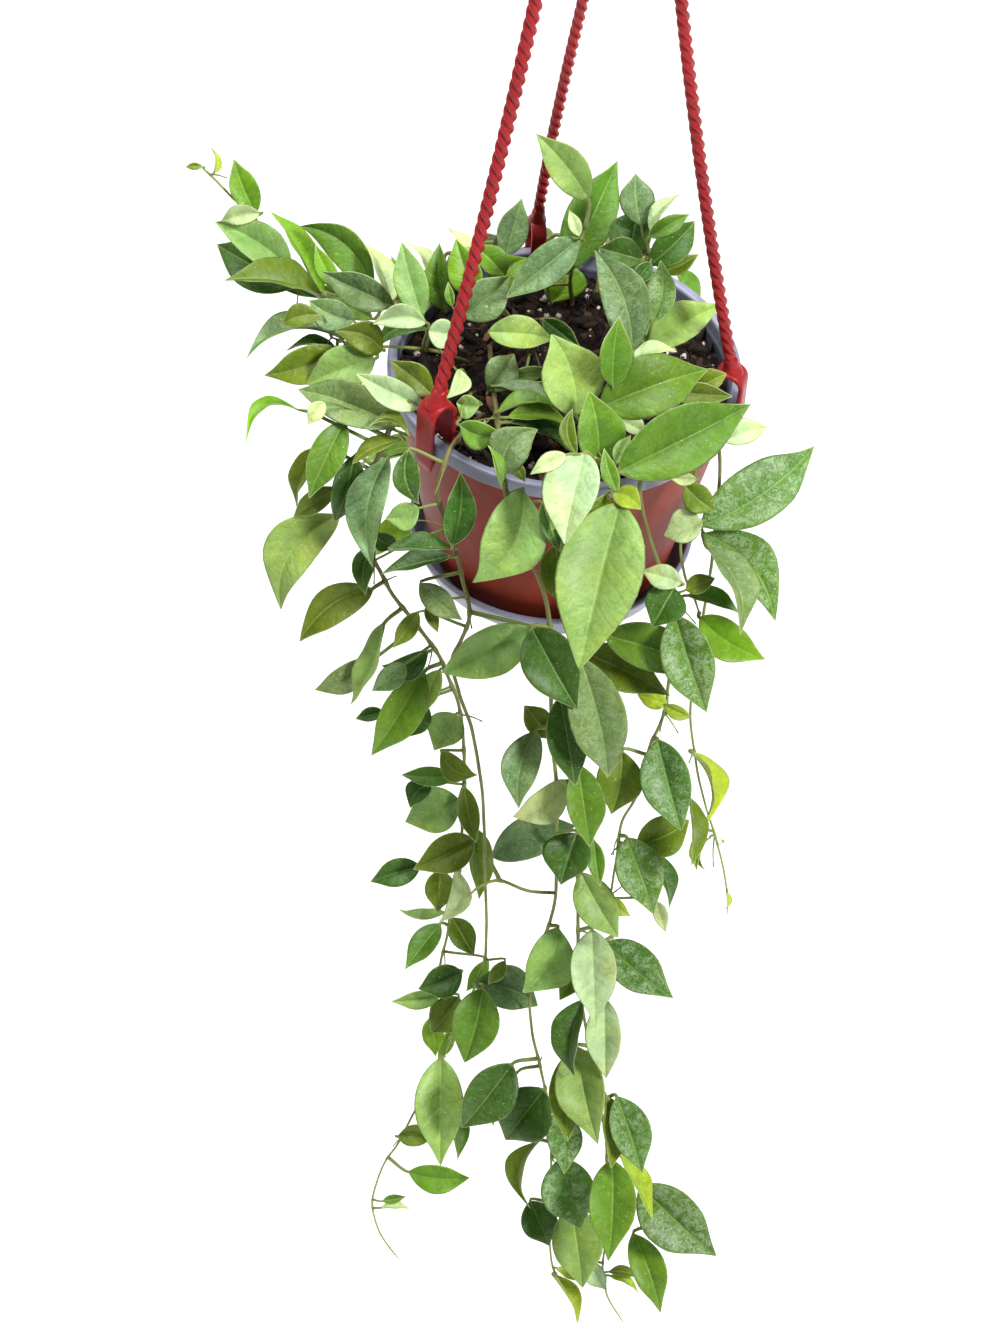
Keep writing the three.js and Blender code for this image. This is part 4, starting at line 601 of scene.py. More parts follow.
# Meshes are put together from closed grids: rings of points, round each of which the surface closes,
# with a point at each end
class Piece:
    def __init__(self, name):
        self.name = name
        self.points, self.faces, self.marks, self.count = [], [], [], 0

    # rings has the shape (rings, points round, 3); marks are rows of values for each point
    def grid(self, rings, marks=None, ends=None, material=0):
        rings = np.asarray(rings, float)
        count, around = rings.shape[:2]
        caps = np.stack([rings[0].mean(axis=0), rings[-1].mean(axis=0)] if ends is None else ends)
        k = np.arange(count - 1)[:, None] * around
        s, t = np.arange(around)[None, :], (np.arange(around)[None, :] + 1) % around
        quads = np.stack([k + s, k + t, k + around + t, k + around + s], axis=-1).reshape(-1, 4)
        low, high, last = count * around, count * around + 1, (count - 1) * around
        s, t = s[0], t[0]
        closing = np.concatenate([np.stack([t, s, 0 * s + low, 0 * s - 1], axis=1),
                                  np.stack([last + s, last + t, 0 * s + high, 0 * s - 1], axis=1)])
        points = np.concatenate([rings.reshape(-1, 3), caps])
        faces = np.concatenate([quads, closing])
        # The volume's sign, from a fan over each face, says whether the faces have to be turned round
        a, b, c = (points[faces[:, j]] for j in range(3))
        d = points[np.where(faces[:, 3] < 0, faces[:, 2], faces[:, 3])]
        volume = (np.cross(b, c) * a).sum() + (np.cross(c, d) * a).sum()
        if volume < 0:
            turned = faces[:, ::-1].copy()
            short = faces[:, 3] < 0
            turned[short, :3], turned[short, 3] = faces[short][:, 2::-1], -1
            faces = turned
        faces[faces >= 0] += self.count
        self.points.append(points)
        ring = np.broadcast_to(material, (count,))
        shades = np.concatenate([np.repeat(ring[:-1], around), np.repeat(ring[[0, -1]], around)])
        self.faces.append(np.concatenate([faces, shades[:, None]], axis=1))
        if marks is not None:
            marks = np.broadcast_to(np.asarray(marks, float), (count, around, np.shape(marks)[-1]))
            capMarks = np.stack([marks[0].mean(axis=0), marks[-1].mean(axis=0)])
            self.marks.append(np.concatenate([marks.reshape(-1, marks.shape[-1]), capMarks]))
        self.count += len(points)

    # The mesh in metres below the hook. Names gives each group of three marks its attribute.
    def mesh(self, names=()):
        points = (np.concatenate(self.points) - [0, 0, hookBearing]) / 1000
        faces = np.concatenate(self.faces)
        corners = np.where(faces[:, 3] < 0, 3, 4)
        used = faces[:, :4][np.arange(4)[None, :] < corners[:, None]]
        mesh = bpy.data.meshes.new(self.name)
        mesh.vertices.add(len(points))
        mesh.vertices.foreach_set("co", points.astype(np.float32).ravel())
        mesh.loops.add(len(used))
        mesh.loops.foreach_set("vertex_index", used.astype(np.int32))
        mesh.polygons.add(len(faces))
        starts = np.concatenate([[0], np.cumsum(corners)[:-1]])
        mesh.polygons.foreach_set("loop_start", starts.astype(np.int32))
        mesh.polygons.foreach_set("material_index", faces[:, 4].astype(np.int32))
        mesh.polygons.foreach_set("use_smooth", np.ones(len(faces), bool))
        for k, name in enumerate(names):
            values = np.concatenate(self.marks)[:, 3 * k:3 * k + 3]
            layer = mesh.attributes.new(name, "FLOAT_VECTOR", "POINT")
            layer.data.foreach_set("vector", values.astype(np.float32).ravel())
        mesh.update(calc_edges=True)
        mesh.validate()
        return mesh

    def made(self, materials, replaced=(), slotName="leaf", names=()):
        mesh = self.mesh(names)
        for material in materials:
            mesh.materials.append(material)
        made = placed(self.name, mesh)
        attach(made, "root")
        if replaced:
            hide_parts(*replaced)
        return made


# Smooth repeatable noise from -1 to 1: values hashed at whole places, blended by a smooth step
def noise(p, seed=0):
    p = np.asarray(p, float)
    cell = np.floor(p).astype(np.int64)
    part = p - cell
    part = part * part * (3 - 2 * part)
    total = np.zeros(p.shape[:-1])
    for corner in range(8):
        step = np.array([corner & 1, corner >> 1 & 1, corner >> 2 & 1])
        at = cell + step
        mixed = (at[..., 0] * 73856093) ^ (at[..., 1] * 19349663) ^ (at[..., 2] * 83492791) ^ (seed * 2654435)
        mixed = ((mixed ^ (mixed >> 13)) & 0xFFFFFFFF) * 1274126177 & 0x7FFFFFFF
        weight = np.prod(np.where(step == 1, part, 1 - part), axis=-1)
        total += weight * ((mixed % 65536) / 32767.5 - 1)
    return total


# Three t squared less two t cubed, where t is the part of the way from low to high
def smoothStep(low, high, x):
    t = np.clip((x - low) / (high - low), 0, 1)
    return t * t * (3 - 2 * t)


# Rings round a line: a circle's points on two directions across the line, times a radius
def tube(line, radius, around):
    line = np.asarray(line, float)
    along = unit(np.gradient(line, axis=0))
    side = unit(np.cross(along, ahead + [0.013, 0.007, 0]))
    out = np.cross(side, along)
    angle = np.arange(around) * 2 * math.pi / around
    radius = np.broadcast_to(np.asarray(radius, float), (len(line),))
    return (line[:, None] + (side[:, None] * np.cos(angle)[:, None] + out[:, None] * np.sin(angle)[:, None])
            * radius[:, None, None])


# Leaves: rows of stations from the stem to the tip, each a loop over the top and back underneath
leafForm = {"halfThickness": 0.3, "stalk": 0.85, "stalkRows": 5, "rows": 21, "smallRows": 13,
            "groove": 0.22, "rib": 0.45, "ribWide": 0.8, "wave": 0.016, "tipDrop": 0.13, "bulge": 0.55,
            "fold": 0.22, "uneven": 0.12, "point": (0.16, 0.26),
            "across": [0, 0.05, 0.13, 0.28, 0.46, 0.64, 0.8, 0.92, 1],
            "smallAcross": [0, 0.09, 0.3, 0.6, 0.86, 1], "small": 24}
# Colour of a blade's upper side in each tone, then how mottled with silver it is
tones = {
    "g": ((0.100, 0.222, 0.012), 0.10), "b": ((0.150, 0.310, 0.010), 0.05),
    # The dark tone d is given to leaves of a deeper green and also to leaves that lie in shade, so part of its
    # darkness is painted shade
    "d": ((0.036, 0.105, 0.006), 0.12), "o": ((0.115, 0.175, 0.006), 0.08),
    "l": ((0.235, 0.385, 0.085), 0.20), "p": ((0.430, 0.560, 0.265), 0.15),
    "m": ((0.092, 0.210, 0.025), 0.95), "y": ((0.330, 0.450, 0.025), 0.02),
    "s": ((0.125, 0.215, 0.068), 0.45), "r": ((0.145, 0.260, 0.030), 0.25),
}


# Turns directions the least way from facing along to facing a new way (Rodrigues' formula)
def swung(vectors, along, facing):
    axis = np.cross(along, facing)
    cosine = np.clip((along * facing).sum(axis=-1, keepdims=True), -0.999, 1)
    dot = (axis * vectors).sum(axis=-1, keepdims=True)
    return vectors * cosine + np.cross(axis, vectors) + axis * dot / (1 + cosine)


# Directions across a blade and out of it, which turn about the midrib from its base to its tip
def acrossAndOut(leaf, u):
    turn = leaf["twist"] * (u - 0.3)
    return (leaf["side"] * np.cos(turn) + leaf["normal"] * np.sin(turn),
            leaf["normal"] * np.cos(turn) - leaf["side"] * np.sin(turn))


def growLeaf(piece, leaf, tone, random):
    small = leaf["length"] < leafForm["small"]
    across = np.array(leafForm["smallAcross" if small else "across"])
    v = np.concatenate([across[::-1], -across[1:], -across[-2:0:-1], across[:-1]])
    top = np.concatenate([np.full(2 * len(across) - 1, 1.0), np.full(2 * len(across) - 3, -1.0)])
    top[np.abs(v) == 1] = 0
    rows = leafForm["smallRows" if small else "rows"]
    s = np.arange(rows) / rows
    u = (s - 0.09 * np.sin(2 * math.pi * s))[:, None]
    draws = [random() for k in range(8)]
    size = min(1.0, leaf["length"] / 40) ** 0.5
    stalk = leafForm["stalk"] * size
    # The blade's outline: a drawn-out point, one side a little broader, and the stalk's breadth at its base
    point = leafForm["point"][0] + leafForm["point"][1] * draws[6]
    uneven = leafForm["uneven"] * (draws[0] - 0.5) * np.sin(math.pi * u)
    blade = leaf["half"] * 1.02 * bladeWidth(u) * (1 - point * smoothStep(0.6, 0.97, u))
    blade = blade * (1 + np.where(v > 0, uneven, -uneven))
    half = np.sqrt(blade ** 2 + (stalk * (1 - smoothStep(0, 0.07, u))) ** 2)
    spread = smoothStep(0.0, 0.1, u)
    x = half * v
    # Lifted by a wavy margin and by a deeper fold that bulges, and dropped where the tip turns down
    wave = leafForm["wave"] * leaf["length"] * (0.4 + draws[1])
    lift = (wave * np.sin(2 * math.pi * (u * (1.4 + draws[2]) + np.where(v > 0, draws[3], draws[4])))
            * v * v * bladeWidth(u) + np.abs(x) * leafForm["fold"]
            + leaf["half"] * bladeWidth(u) * leafForm["bulge"] * (np.abs(v) - v * v) * (leaf["cup"] + 0.25)
            - leafForm["tipDrop"] * leaf["length"] * (draws[5] - 0.2) * smoothStep(0.5, 1.0, u) ** 2)
    middle = bladePoint(leaf, u, v, half, lift)
    # Half the thickness: round in the stalk, a thin plate with a rounded edge in the blade, a groove
    # along the midrib above and a rib below it, which both fade towards the tip
    rounding = np.sqrt(1 - v * v)
    plate = leafForm["halfThickness"] * np.sqrt(1 - np.abs(v) ** 5) * (1 - 0.5 * u)
    rib = np.exp(-(x / leafForm["ribWide"]) ** 2) * (1 - u) ** 0.8 * size
    plate = plate + np.where(top > 0, -leafForm["groove"], leafForm["rib"]) * rib * (np.abs(v) < 1)
    thick = (stalk * rounding * (1 - spread) + plate * spread) * top
    body = middle + acrossAndOut(leaf, u[..., None])[1] * thick[..., None]
    # The petiole: a curve from the stem to the blade's base, leaving each along its own direction
    stem, k = leaf["stem"]
    root = stem["smooth"][k]
    start = bladePoint(leaf, 0.0, 0.0)
    gap = np.linalg.norm(start - root)
    t = (np.arange(leafForm["stalkRows"]) / leafForm["stalkRows"])[:, None]
    leave = unit(start - root) * gap
    arrive = leaf["along"] * min(gap, 9.0)
    line = ((2 * t ** 3 - 3 * t ** 2 + 1) * root + (t ** 3 - 2 * t ** 2 + t) * leave
            + (3 * t ** 2 - 2 * t ** 3) * start + (t ** 3 - t ** 2) * arrive)
    facing = unit(np.gradient(np.concatenate([line, [start]]), axis=0))[:-1]
    side, over = (swung(way, leaf["along"], facing) for way in acrossAndOut(leaf, 0.0))
    radius = stalk * (1.25 - 0.25 * t)
    petiole = (line[:, None] + side[:, None] * (radius * v)[..., None]
               + over[:, None] * (radius * rounding * np.sign(top + (top == 0)))[..., None])
    rings = np.concatenate([petiole, body])
    # Marks: place on the blade, traits, and colour
    colour, mottle = tones[tone]
    shade = 1 + 0.3 * (draws[7] - 0.5)
    warm = 1 + 0.2 * (draws[5] - 0.5)
    count = len(rings)
    alongMm = np.concatenate([t * gap - gap, u * leaf["length"]]) * np.ones_like(v)
    acrossMm = np.concatenate([radius * v, x])
    edge = np.concatenate([np.full((len(t), len(v)), 9.0), half * (1 - np.abs(v))])
    blade = np.concatenate([np.zeros((len(t), 1)), smoothStep(0.0, 0.05, u)]) * np.ones_like(v)
    marks = np.stack([
        acrossMm, alongMm, np.full(acrossMm.shape, draws[0] * 90 + 3),
        edge, np.ones((count, 1)) * np.where(top == 0, 0.5, top > 0), blade * (1 + mottle),
        *(np.full(acrossMm.shape, c * shade * w) for c, w in zip(colour, (warm, 1, 2 - warm))),
    ], axis=-1)
    tip = bladePoint(leaf, 1.0, 0.0, 0.0, float(lift[-1].mean()) * 1.2)
    piece.grid(rings, marks, ends=[rings[0].mean(axis=0), tip])


# Stems: round tubes along the smooth line, thicker where a leaf joins, and drawn out at the tip
stemForm = {"step": 2.1, "around": 8, "slim": 0.74, "nodeSwell": 0.45, "nodeLength": 2.0, "wobble": 0.35,
            "tip": 9.0, "spurs": 0.34, "spurLength": 11.0, "spurRadius": 0.36,
            "colour": (0.205, 0.250, 0.055), "oldColour": (0.165, 0.130, 0.055),
            "young": (0.300, 0.380, 0.080)}


# Points at even steps along a line, and how far along it each one is
def evenly(line, step):
    run = np.concatenate([[0], np.cumsum(np.linalg.norm(np.diff(line, axis=0), axis=1))])
    at = np.linspace(0, run[-1], max(4, int(run[-1] / step) + 1))
    return np.stack([np.interp(at, run, line[:, k]) for k in range(3)], axis=1), at


# Marks of a stem: the way round it, millimetres along it and a seed, then nothing, then its colour
def stemMarks(rings, at, seed, colour):
    around = rings.shape[1]
    turn = np.arange(around) / around * 6.0
    flat = np.zeros(rings.shape[:2])
    colour = np.broadcast_to(colour, (len(rings), 3))
    return np.stack([flat + turn, flat + at[:, None], flat + seed, flat, flat, flat,
                     *(flat + colour[:, k][:, None] for k in range(3))], axis=-1)


def growStem(piece, stem, roots, seed, random):
    line, at = evenly(curveThrough(stem["points"], 20), stemForm["step"])
    if stem["rooted"]:
        foot = np.array([-20.0, -12.0, -5.0])
        line = np.concatenate([line[0] + np.outer(foot, [0, 0, 1]), line])
        at = np.concatenate([foot, at])
    part = np.clip(at / at[-1], 0, 1)
    radius = (stem["thick"] + (stem["thin"] - stem["thick"]) * part) / 2 * stemForm["slim"]
    if len(roots):
        near = np.linalg.norm(line[:, None] - np.array(roots)[None], axis=2).min(axis=1)
        radius = radius * (1 + stemForm["nodeSwell"] * np.exp(-(near / stemForm["nodeLength"]) ** 2))
    radius = radius * (1 + 0.07 * noise(line * 0.35, seed))
    radius = radius * (0.45 + 0.55 * np.clip((at[-1] - at) / stemForm["tip"], 0, 1) ** 0.6)
    sway = np.stack([noise(line * 0.07 + shift, seed) for shift in (0, 17.3, 41.9)], axis=1)
    line = line + sway * stemForm["wobble"] * np.clip(at, 0, 10)[:, None] / 10
    rings = tube(line, radius, stemForm["around"])
    age = (part ** 0.8)[:, None]
    colour = np.array(stemForm["oldColour"]) * (1 - age) ** 2 + np.array(stemForm["colour"]) * (
        1 - (1 - age) ** 2 - age ** 3) + np.array(stemForm["young"]) * age ** 3
    piece.grid(rings, stemMarks(rings, at, seed, colour), material=1)
    # Short spurs and rootlets at some of the joints
    for root in roots:
        if random() > stemForm["spurs"]:
            continue
        way = unit(np.array([random() - 0.5, random() - 0.7, random() - 0.75]))
        long = stemForm["spurLength"] * (0.4 + random())
        t = np.linspace(0, 1, 7)[:, None]
        bow = np.array([random() - 0.5, random() - 0.5, -0.6]) * long * 0.45
        spur = root + way * long * t + bow * t * t
        rings = tube(spur, stemForm["spurRadius"] * (1.15 - 0.55 * t[:, 0] + 0.5 * np.exp(
            -((t[:, 0] - 0.97) / 0.08) ** 2)), 6)
        piece.grid(rings, stemMarks(rings, t[:, 0] * long, seed + 5, stemForm["colour"]), material=1)


# Profiles turned about the axis. Each corner is a radius, a height and how far it is rounded: there a
# parabola runs between the points so far along both edges.
def rounded(corners, steps=4):
    p = np.array([c[:2] for c in corners], float)
    made = [p[0]]
    for k in range(1, len(p) - 1):
        fillet = corners[k][2]
        back, on = p[k - 1] - p[k], p[k + 1] - p[k]
        a = p[k] + unit(back) * min(fillet, np.linalg.norm(back) * 0.49)
        b = p[k] + unit(on) * min(fillet, np.linalg.norm(on) * 0.49)
        t = (np.arange(steps + 1) / steps)[:, None] if fillet else np.array([[0.5]])
        made.extend((1 - t) ** 2 * a + 2 * t * (1 - t) * p[k] + t ** 2 * b)
    return np.array(made + [p[-1]])


# Level circles of points about the axis, one for each radius and height
def circles(r, z, sides):
    angle = np.arange(sides) * 2 * math.pi / sides
    r, z = np.asarray(r, float)[..., None], np.asarray(z, float)[..., None]
    return np.stack([r * np.cos(angle), r * np.sin(angle), z + 0 * r * angle], axis=-1)


# A profile carried round the axis, whose two ends lie on it and close the form
def turnedGrid(piece, profile, sides, material=0):
    ends = [[0, 0, profile[0, 1]], [0, 0, profile[-1, 1]]]
    piece.grid(circles(*profile[1:-1].T, sides), ends=np.array(ends), material=material)


# Shades as edges those where two faces meet at more than an angle
def sharpened(made, angle=38):
    made.data.set_sharp_from_angle(angle=math.radians(angle))
    return made


# Pot: tapered shell with a rolled rim band, an inner ledge under it, a foot ring and drain holes
def makePot():
    high, wall, rim = pot["height"], pot["wall"], pot["rim"]
    innerTop, under = rim - pot["rimWidth"], -pot["rimHeight"]
    profile = rounded([
        (0, -high + 0.8, 0), (43, -high + 0.8, 0.8), (45, -high, 0.8), (pot["base"] - 1, -high, 1.6),
        (float(outerRadius(-high + 6)), -high + 6, 3), (pot["underRim"], under - 0.6, 0.5),
        (rim - 0.9, under, 0.5), (rim, under + 0.5, 0.6), (rim, 0, 1.7), (innerTop, 0, 1.7),
        (innerTop, under + 0.5, 0.8), (float(innerRadius(-9.0)), under - 1.6, 0.7),
        (float(innerRadius(-high + 8)), -high + 8, 4), (pot["base"] - wall - 4, -high + wall + 0.5, 2),
        (0, -high + wall + 0.5, 0)], 5)
    belowRim = np.arange(len(profile)) < np.argmax(profile[:, 0] > rim - 0.5)
    piece = Piece("pot_shell")
    turnedGrid(piece, profile, pot["sides"], belowRim[1:-1].astype(int))
    made = piece.made([potRim, potWall], ["pot"], "pot")
    cutters = Piece("drain_cutters")
    places = circles(pot["drainCircle"], 0, pot["drainHoles"])
    for place, radius in [([0, 0, 0], pot["pegHole"])] + [(place, pot["drainRadius"]) for place in places]:
        cutters.grid(circles([radius, radius], [-high - 3, -high + 5], 24) + place)
    cutter = placed("drain_cutters", cutters.mesh())
    hole = made.modifiers.new("drain", "BOOLEAN")
    hole.operation, hole.solver, hole.object = "DIFFERENCE", "EXACT", cutter
    bpy.context.view_layer.update()
    evaluated = made.evaluated_get(bpy.context.evaluated_depsgraph_get())
    made.data = bpy.data.meshes.new_from_object(evaluated)
    made.modifiers.clear()
    bpy.data.objects.remove(cutter)
    return sharpened(made)


# Saucer: a shallow dish that clips under the pot with a barbed peg
def makeSaucer():
    top = -pot["height"] - saucer["gap"]
    low = top - saucer["floor"]
    lip = low + saucer["height"]
    barb = -pot["height"] + pot["wall"] + 0.5 + saucer["gap"]
    radius, peg = saucer["radius"], saucer["peg"]
    profile = rounded([
        (0, low + 0.8, 0), (44, low + 0.8, 0.8), (46, low, 0.8), (radius - 6, low, 2.5),
        (radius - 0.6, lip - 2.4, 0.6), (radius, lip - 2, 0.5), (radius, lip, 0.9), (radius - 1.9, lip, 0.8),
        (radius - 7.5, top, 3), (peg + 0.5, top, 1), (peg, top + 1, 0.4), (peg, barb, 0.2),
        (peg + 1.2, barb, 0.3), (peg - 1.4, barb + 3, 0.8), (0, barb + 3, 0)])
    piece = Piece("saucer_dish")
    turnedGrid(piece, profile, 128)
    return sharpened(piece.made([saucerPlastic], ["drip_saucer"], "saucer"))


# Potting mix: a crumbly top on a plain plug, with crumbs of bark, white perlite and fibres on it
mixForm = {"rings": 70, "around": 170, "crumbs": 0.8, "perlite": 300, "bark": 600, "fibres": 170,
           "reach": 67.5}


# The sum of three noises, each finer and lower than the last
def crumbled(x, y):
    p = np.stack([x, y, 0 * x], axis=-1)
    return (0.9 * noise(p * 0.32, 3) + 0.55 * noise(p * 0.75, 4) + 0.35 * noise(p * 1.6, 5)) * mixForm["crumbs"]


def makeMix():
    bottom = -pot["height"] + pot["wall"] + 0.9
    edge = float(innerRadius(-12.0)) - 0.25
    sides = np.array([(6.6, bottom + 4.4), (6.7, bottom), (float(innerRadius(-100.0)) - 2, bottom),
                      (float(innerRadius(-96.0)) - 0.3, bottom + 7), (edge, -pot["mixDepth"] - 4)])
    radii = edge * (1 - (np.arange(mixForm["rings"]) / mixForm["rings"]) ** 1.05)
    top = circles(radii, 0 * radii, mixForm["around"])
    x, y = top[..., 0], top[..., 1]
    top[..., 2] = mixTop(x, y) + crumbled(x, y)
    piece = Piece("mix_plug")
    piece.grid(np.concatenate([circles(*sides.T, mixForm["around"]), top]),
               ends=np.array([[0, 0, bottom + 4.4], [0, 0, float(mixTop(0, 0))]]))
    piece.made([mixSoil], ["potting_mix"], "mix")
    random = np.random.default_rng(7)
    # Crumbs are three rings of six points, squeezed, roughened and turned about at random
    angle = np.arange(6) * math.pi / 3
    ball = np.stack([np.stack([math.cos(b) * np.cos(angle + k * 0.5), math.cos(b) * np.sin(angle + k * 0.5),
                               math.sin(b) + 0 * angle], axis=-1)
                     for k, b in enumerate((-0.8, 0.0, 0.8))])
    for name, key, look, small, large, shape in (("perlite", "perlite", perlite, 0.6, 2.1, (1, 0.9, 0.75)),
                                                 ("bark_crumbs", "bark", bark, 0.8, 3.6, (1.5, 0.9, 0.5))):
        piece, shape = Piece(name), np.array(shape)
        for k in range(mixForm[key]):
            r, a = mixForm["reach"] * math.sqrt(random.random()), random.random() * 2 * math.pi
            # Two crumbs in three lie close to the one before
            if k % 3:
                r, a = min(mixForm["reach"], abs(near[0] + 4 * random.normal())), near[1] + 0.1 * random.normal()
            near = (r, a)
            size = small + (large - small) * random.random() ** 2
            turn, _ = np.linalg.qr(random.normal(size=(3, 3)))
            rough = 1 + 0.22 * random.normal(size=(3, 6, 1)).clip(-1.5, 1.5)
            x, y = r * math.cos(a), r * math.sin(a)
            z = float(mixTop(x, y) + crumbled(np.array(x), np.array(y))) + size * 0.35
            points = (ball * rough * shape * size) @ turn + [x, y, z]
            ends = (np.array([[0, 0, -1], [0, 0, 1.0]]) * shape * size) @ turn + [x, y, z]
            piece.grid(points, np.array([size, random.random(), k]), ends=ends)
        piece.made([look], (), "mix", ["crumb"])
    piece = Piece("mix_fibres")
    for k in range(mixForm["fibres"]):
        r, a = mixForm["reach"] * 0.95 * math.sqrt(random.random()), random.random() * 2 * math.pi
        long, way = 5 + 13 * random.random() ** 2, random.random() * math.pi
        t = np.linspace(-0.5, 0.5, 6)
        x = r * math.cos(a) + long * t * math.cos(way) + 1.5 * random.normal() * t * t * 4
        y = r * math.sin(a) + long * t * math.sin(way) + 1.5 * random.normal() * t * t * 4
        inside = np.minimum(1, mixForm["reach"] / np.hypot(x, y))
        x, y = x * inside, y * inside
        line = np.stack([x, y, mixTop(x, y) + 1.3 + random.random() + 1.6 * random.normal() * t], axis=-1)
        piece.grid(tube(line, 0.22 + 0.45 * random.random() ** 3, 5), np.array([0.3, random.random(), k]))
    piece.made([bark], (), "mix", ["crumb"])


# Arm along +X: three round strands laid together, so the outline at an angle is the farthest strand's,
# offset times cosine plus the rest of its circle, and the whole turns as it climbs
def makeArm(index, arm):
    t = np.linspace(0, 1, hanger["rings"])
    line = armLine(arm, t)
    along = unit(np.gradient(line, axis=0))
    out = unit(np.cross([0.0, 1.0, 0.0], along))
    side = np.cross(along, out)
    phi = np.arange(hanger["around"]) * 2 * math.pi / hanger["around"]
    turn = (line[:, 2] - line[0, 2]) / hanger["pitch"] * 2 * math.pi
    third = 2 * math.pi / 3
    delta = (phi[None, :] - turn[:, None] + third / 2) % third - third / 2
    reach = (hanger["strandOffset"] * np.cos(delta)
             + np.sqrt(hanger["strand"] ** 2 - (hanger["strandOffset"] * np.sin(delta)) ** 2))
    across = side[:, None] * np.cos(phi)[:, None] + out[:, None] * np.sin(phi)[:, None]
    piece = Piece(f"twisted_arm_{index + 1}")
    rings = line[:, None] + across * reach[..., None] * arm["slim"]
    piece.grid(turnedAbout(rings, arm["angle"]))
    # Neck, where the twist leaves its clip
    height, slim = hanger["foot"][1], arm["slim"]
    profile = rounded([(0, height - 0.3, 0), (4.9 * slim, height - 0.3, 0.5), (4.6 * slim, height + 1.6, 1.0),
                       (3.6 * slim, height + 3.8, 1.0), (3.3 * slim, height + 7.0, 0.6),
                       (2.4 * slim, height + 7.8, 0.3), (0, height + 7.8, 0)])
    rings = circles(*profile[1:-1].T, 32)
    rings[..., 0] += armLine(arm, (rings[:, :1, 2] - height) / (hanger["head"][1] - height))[..., 0]
    piece.grid(turnedAbout(rings, arm["angle"]))
    # Clip: a band's rounded section carried up inside the rim, over in a half circle, and down outside
    outside = pot["rim"] + hanger["gap"]
    middle, half = (hanger["inside"] + outside) / 2, (outside - hanger["inside"]) / 2
    thick, bend = hanger["thick"], hanger["bend"]
    arc = np.linspace(math.pi, 0, 25)
    inner = np.linspace(hanger["innerLeg"], bend, 9)[:-1]
    outer = np.linspace(bend, hanger["outerLeg"], 19)[1:]
    arch = half + thick / 2
    route = np.concatenate([
        np.stack([np.full(8, hanger["inside"] - thick / 2), inner], axis=1),
        np.stack([middle + arch * np.cos(arc), bend + arch * np.sin(arc)], axis=1),
        np.stack([np.full(18, outside + thick / 2), outer], axis=1)])
    along = unit(np.gradient(route, axis=0))
    corner = np.linspace(0, 2 * math.pi, 40, endpoint=False)
    wide, deep = (breadth / 2 * np.sign(wave) * np.abs(wave) ** hanger["squareness"]
                  for breadth, wave in ((arm["clip"], np.cos(corner)), (thick, np.sin(corner))))
    # The barb stands out of the band's inner face just under the rim, and both ends are rounded
    run = np.arange(len(route))
    fromEnd = np.minimum(run, run[-1] - run)
    close = np.clip((fromEnd + 0.6) / 2.2, 0.25, 1) ** 0.5
    onOuter = run >= len(inner) + len(arc)
    barb = np.where(onOuter, hanger["barb"] * np.exp(-((route[:, 1] + pot["rimHeight"] + 2.4) / 1.6) ** 2), 0)
    depth = deep * close[:, None] - (deep < 0) * barb[:, None]
    section = np.stack([
        route[:, :1] - along[:, 1:] * depth,
        wide * (0.82 + 0.18 * close[:, None]),
        route[:, 1:] + along[:, :1] * depth], axis=-1)
    piece.grid(turnedAbout(section, arm["angle"]))
    return sharpened(piece.made([hangerPlastic], [f"hanger_arm_{index + 1}"], "hanger"), 50)


# Knob that the arms snap into, and the hook: a round wire that rises and bends over in a circle
def makeHook():
    piece = Piece("hook_and_knob")
    profile = rounded([(0, 376, 0), (10.5, 376, 1.5), (15, 380, 2.5), (15, 389, 2), (11, 394, 2),
                       (6.5, 396.5, 1.5), (4.2, 399.5, 1), (0, 400, 0)], 6)
    rings = circles(*profile[1:-1].T, 96)
    z, ridged = rings[..., 2:], np.cos(np.arange(96) * math.pi / 2) > 0.2
    rings[..., :2] *= 1 - 0.022 * ridged[:, None] * smoothStep(379, 381, z) * (1 - smoothStep(388, 390, z))
    piece.grid(rings, ends=np.array([[0, 0, 376.0], [0, 0, 400.0]]))
    for arm in hanger["arms"]:
        end = armPoint(arm, 1.0)
        along, t = unit(end - armPoint(arm, 0.97)), np.linspace(0, 1, 9)[:, None]
        collar = end + along * (6 * t - 13)
        piece.grid(tube(collar, 4.4 - 0.6 * (1 - np.sin(math.pi * t[:, 0])), 32))
    radius, centre = hanger["hookRadius"], hanger["hookCentre"]
    arc = np.radians(np.arange(-60, 206, 26.5))
    route = [(0, 0, 392.0), (0, 0, 399.0)] + [(radius * math.cos(a), 0, centre + radius * math.sin(a)) for a in arc]
    line, at = evenly(curveThrough([np.array(p, float) for p in route], 20), 0.9)
    wire, left = hanger["hookWire"], at[-1] - at
    wire = wire * np.sqrt(np.clip(1 - np.clip(1 - left / wire, 0, 1) ** 2, 0.02, 1))
    piece.grid(tube(line, wire, 24))
    return sharpened(piece.made([hangerPlastic], ["hanger_hook"], "hanger"), 50)


# Shader maths: a wire is a node's output, and sums and products of wires and numbers add Math nodes
class Wire:
    def __init__(self, look, socket):
        self.look, self.socket = look, socket

    def maths(self, operation, a, b):
        return self.look.node("ShaderNodeMath", {"operation": operation}, {0: a, 1: b})

    def __abs__(self):
        return self.maths("ABSOLUTE", self, 0.0)

    # From 0 to 1 as the value goes from low to high, by a smooth step
    def between(self, low, high):
        return self.look.node("ShaderNodeMapRange", {"interpolation_type": "SMOOTHSTEP"},
                              {"Value": self, "From Min": low, "From Max": high})


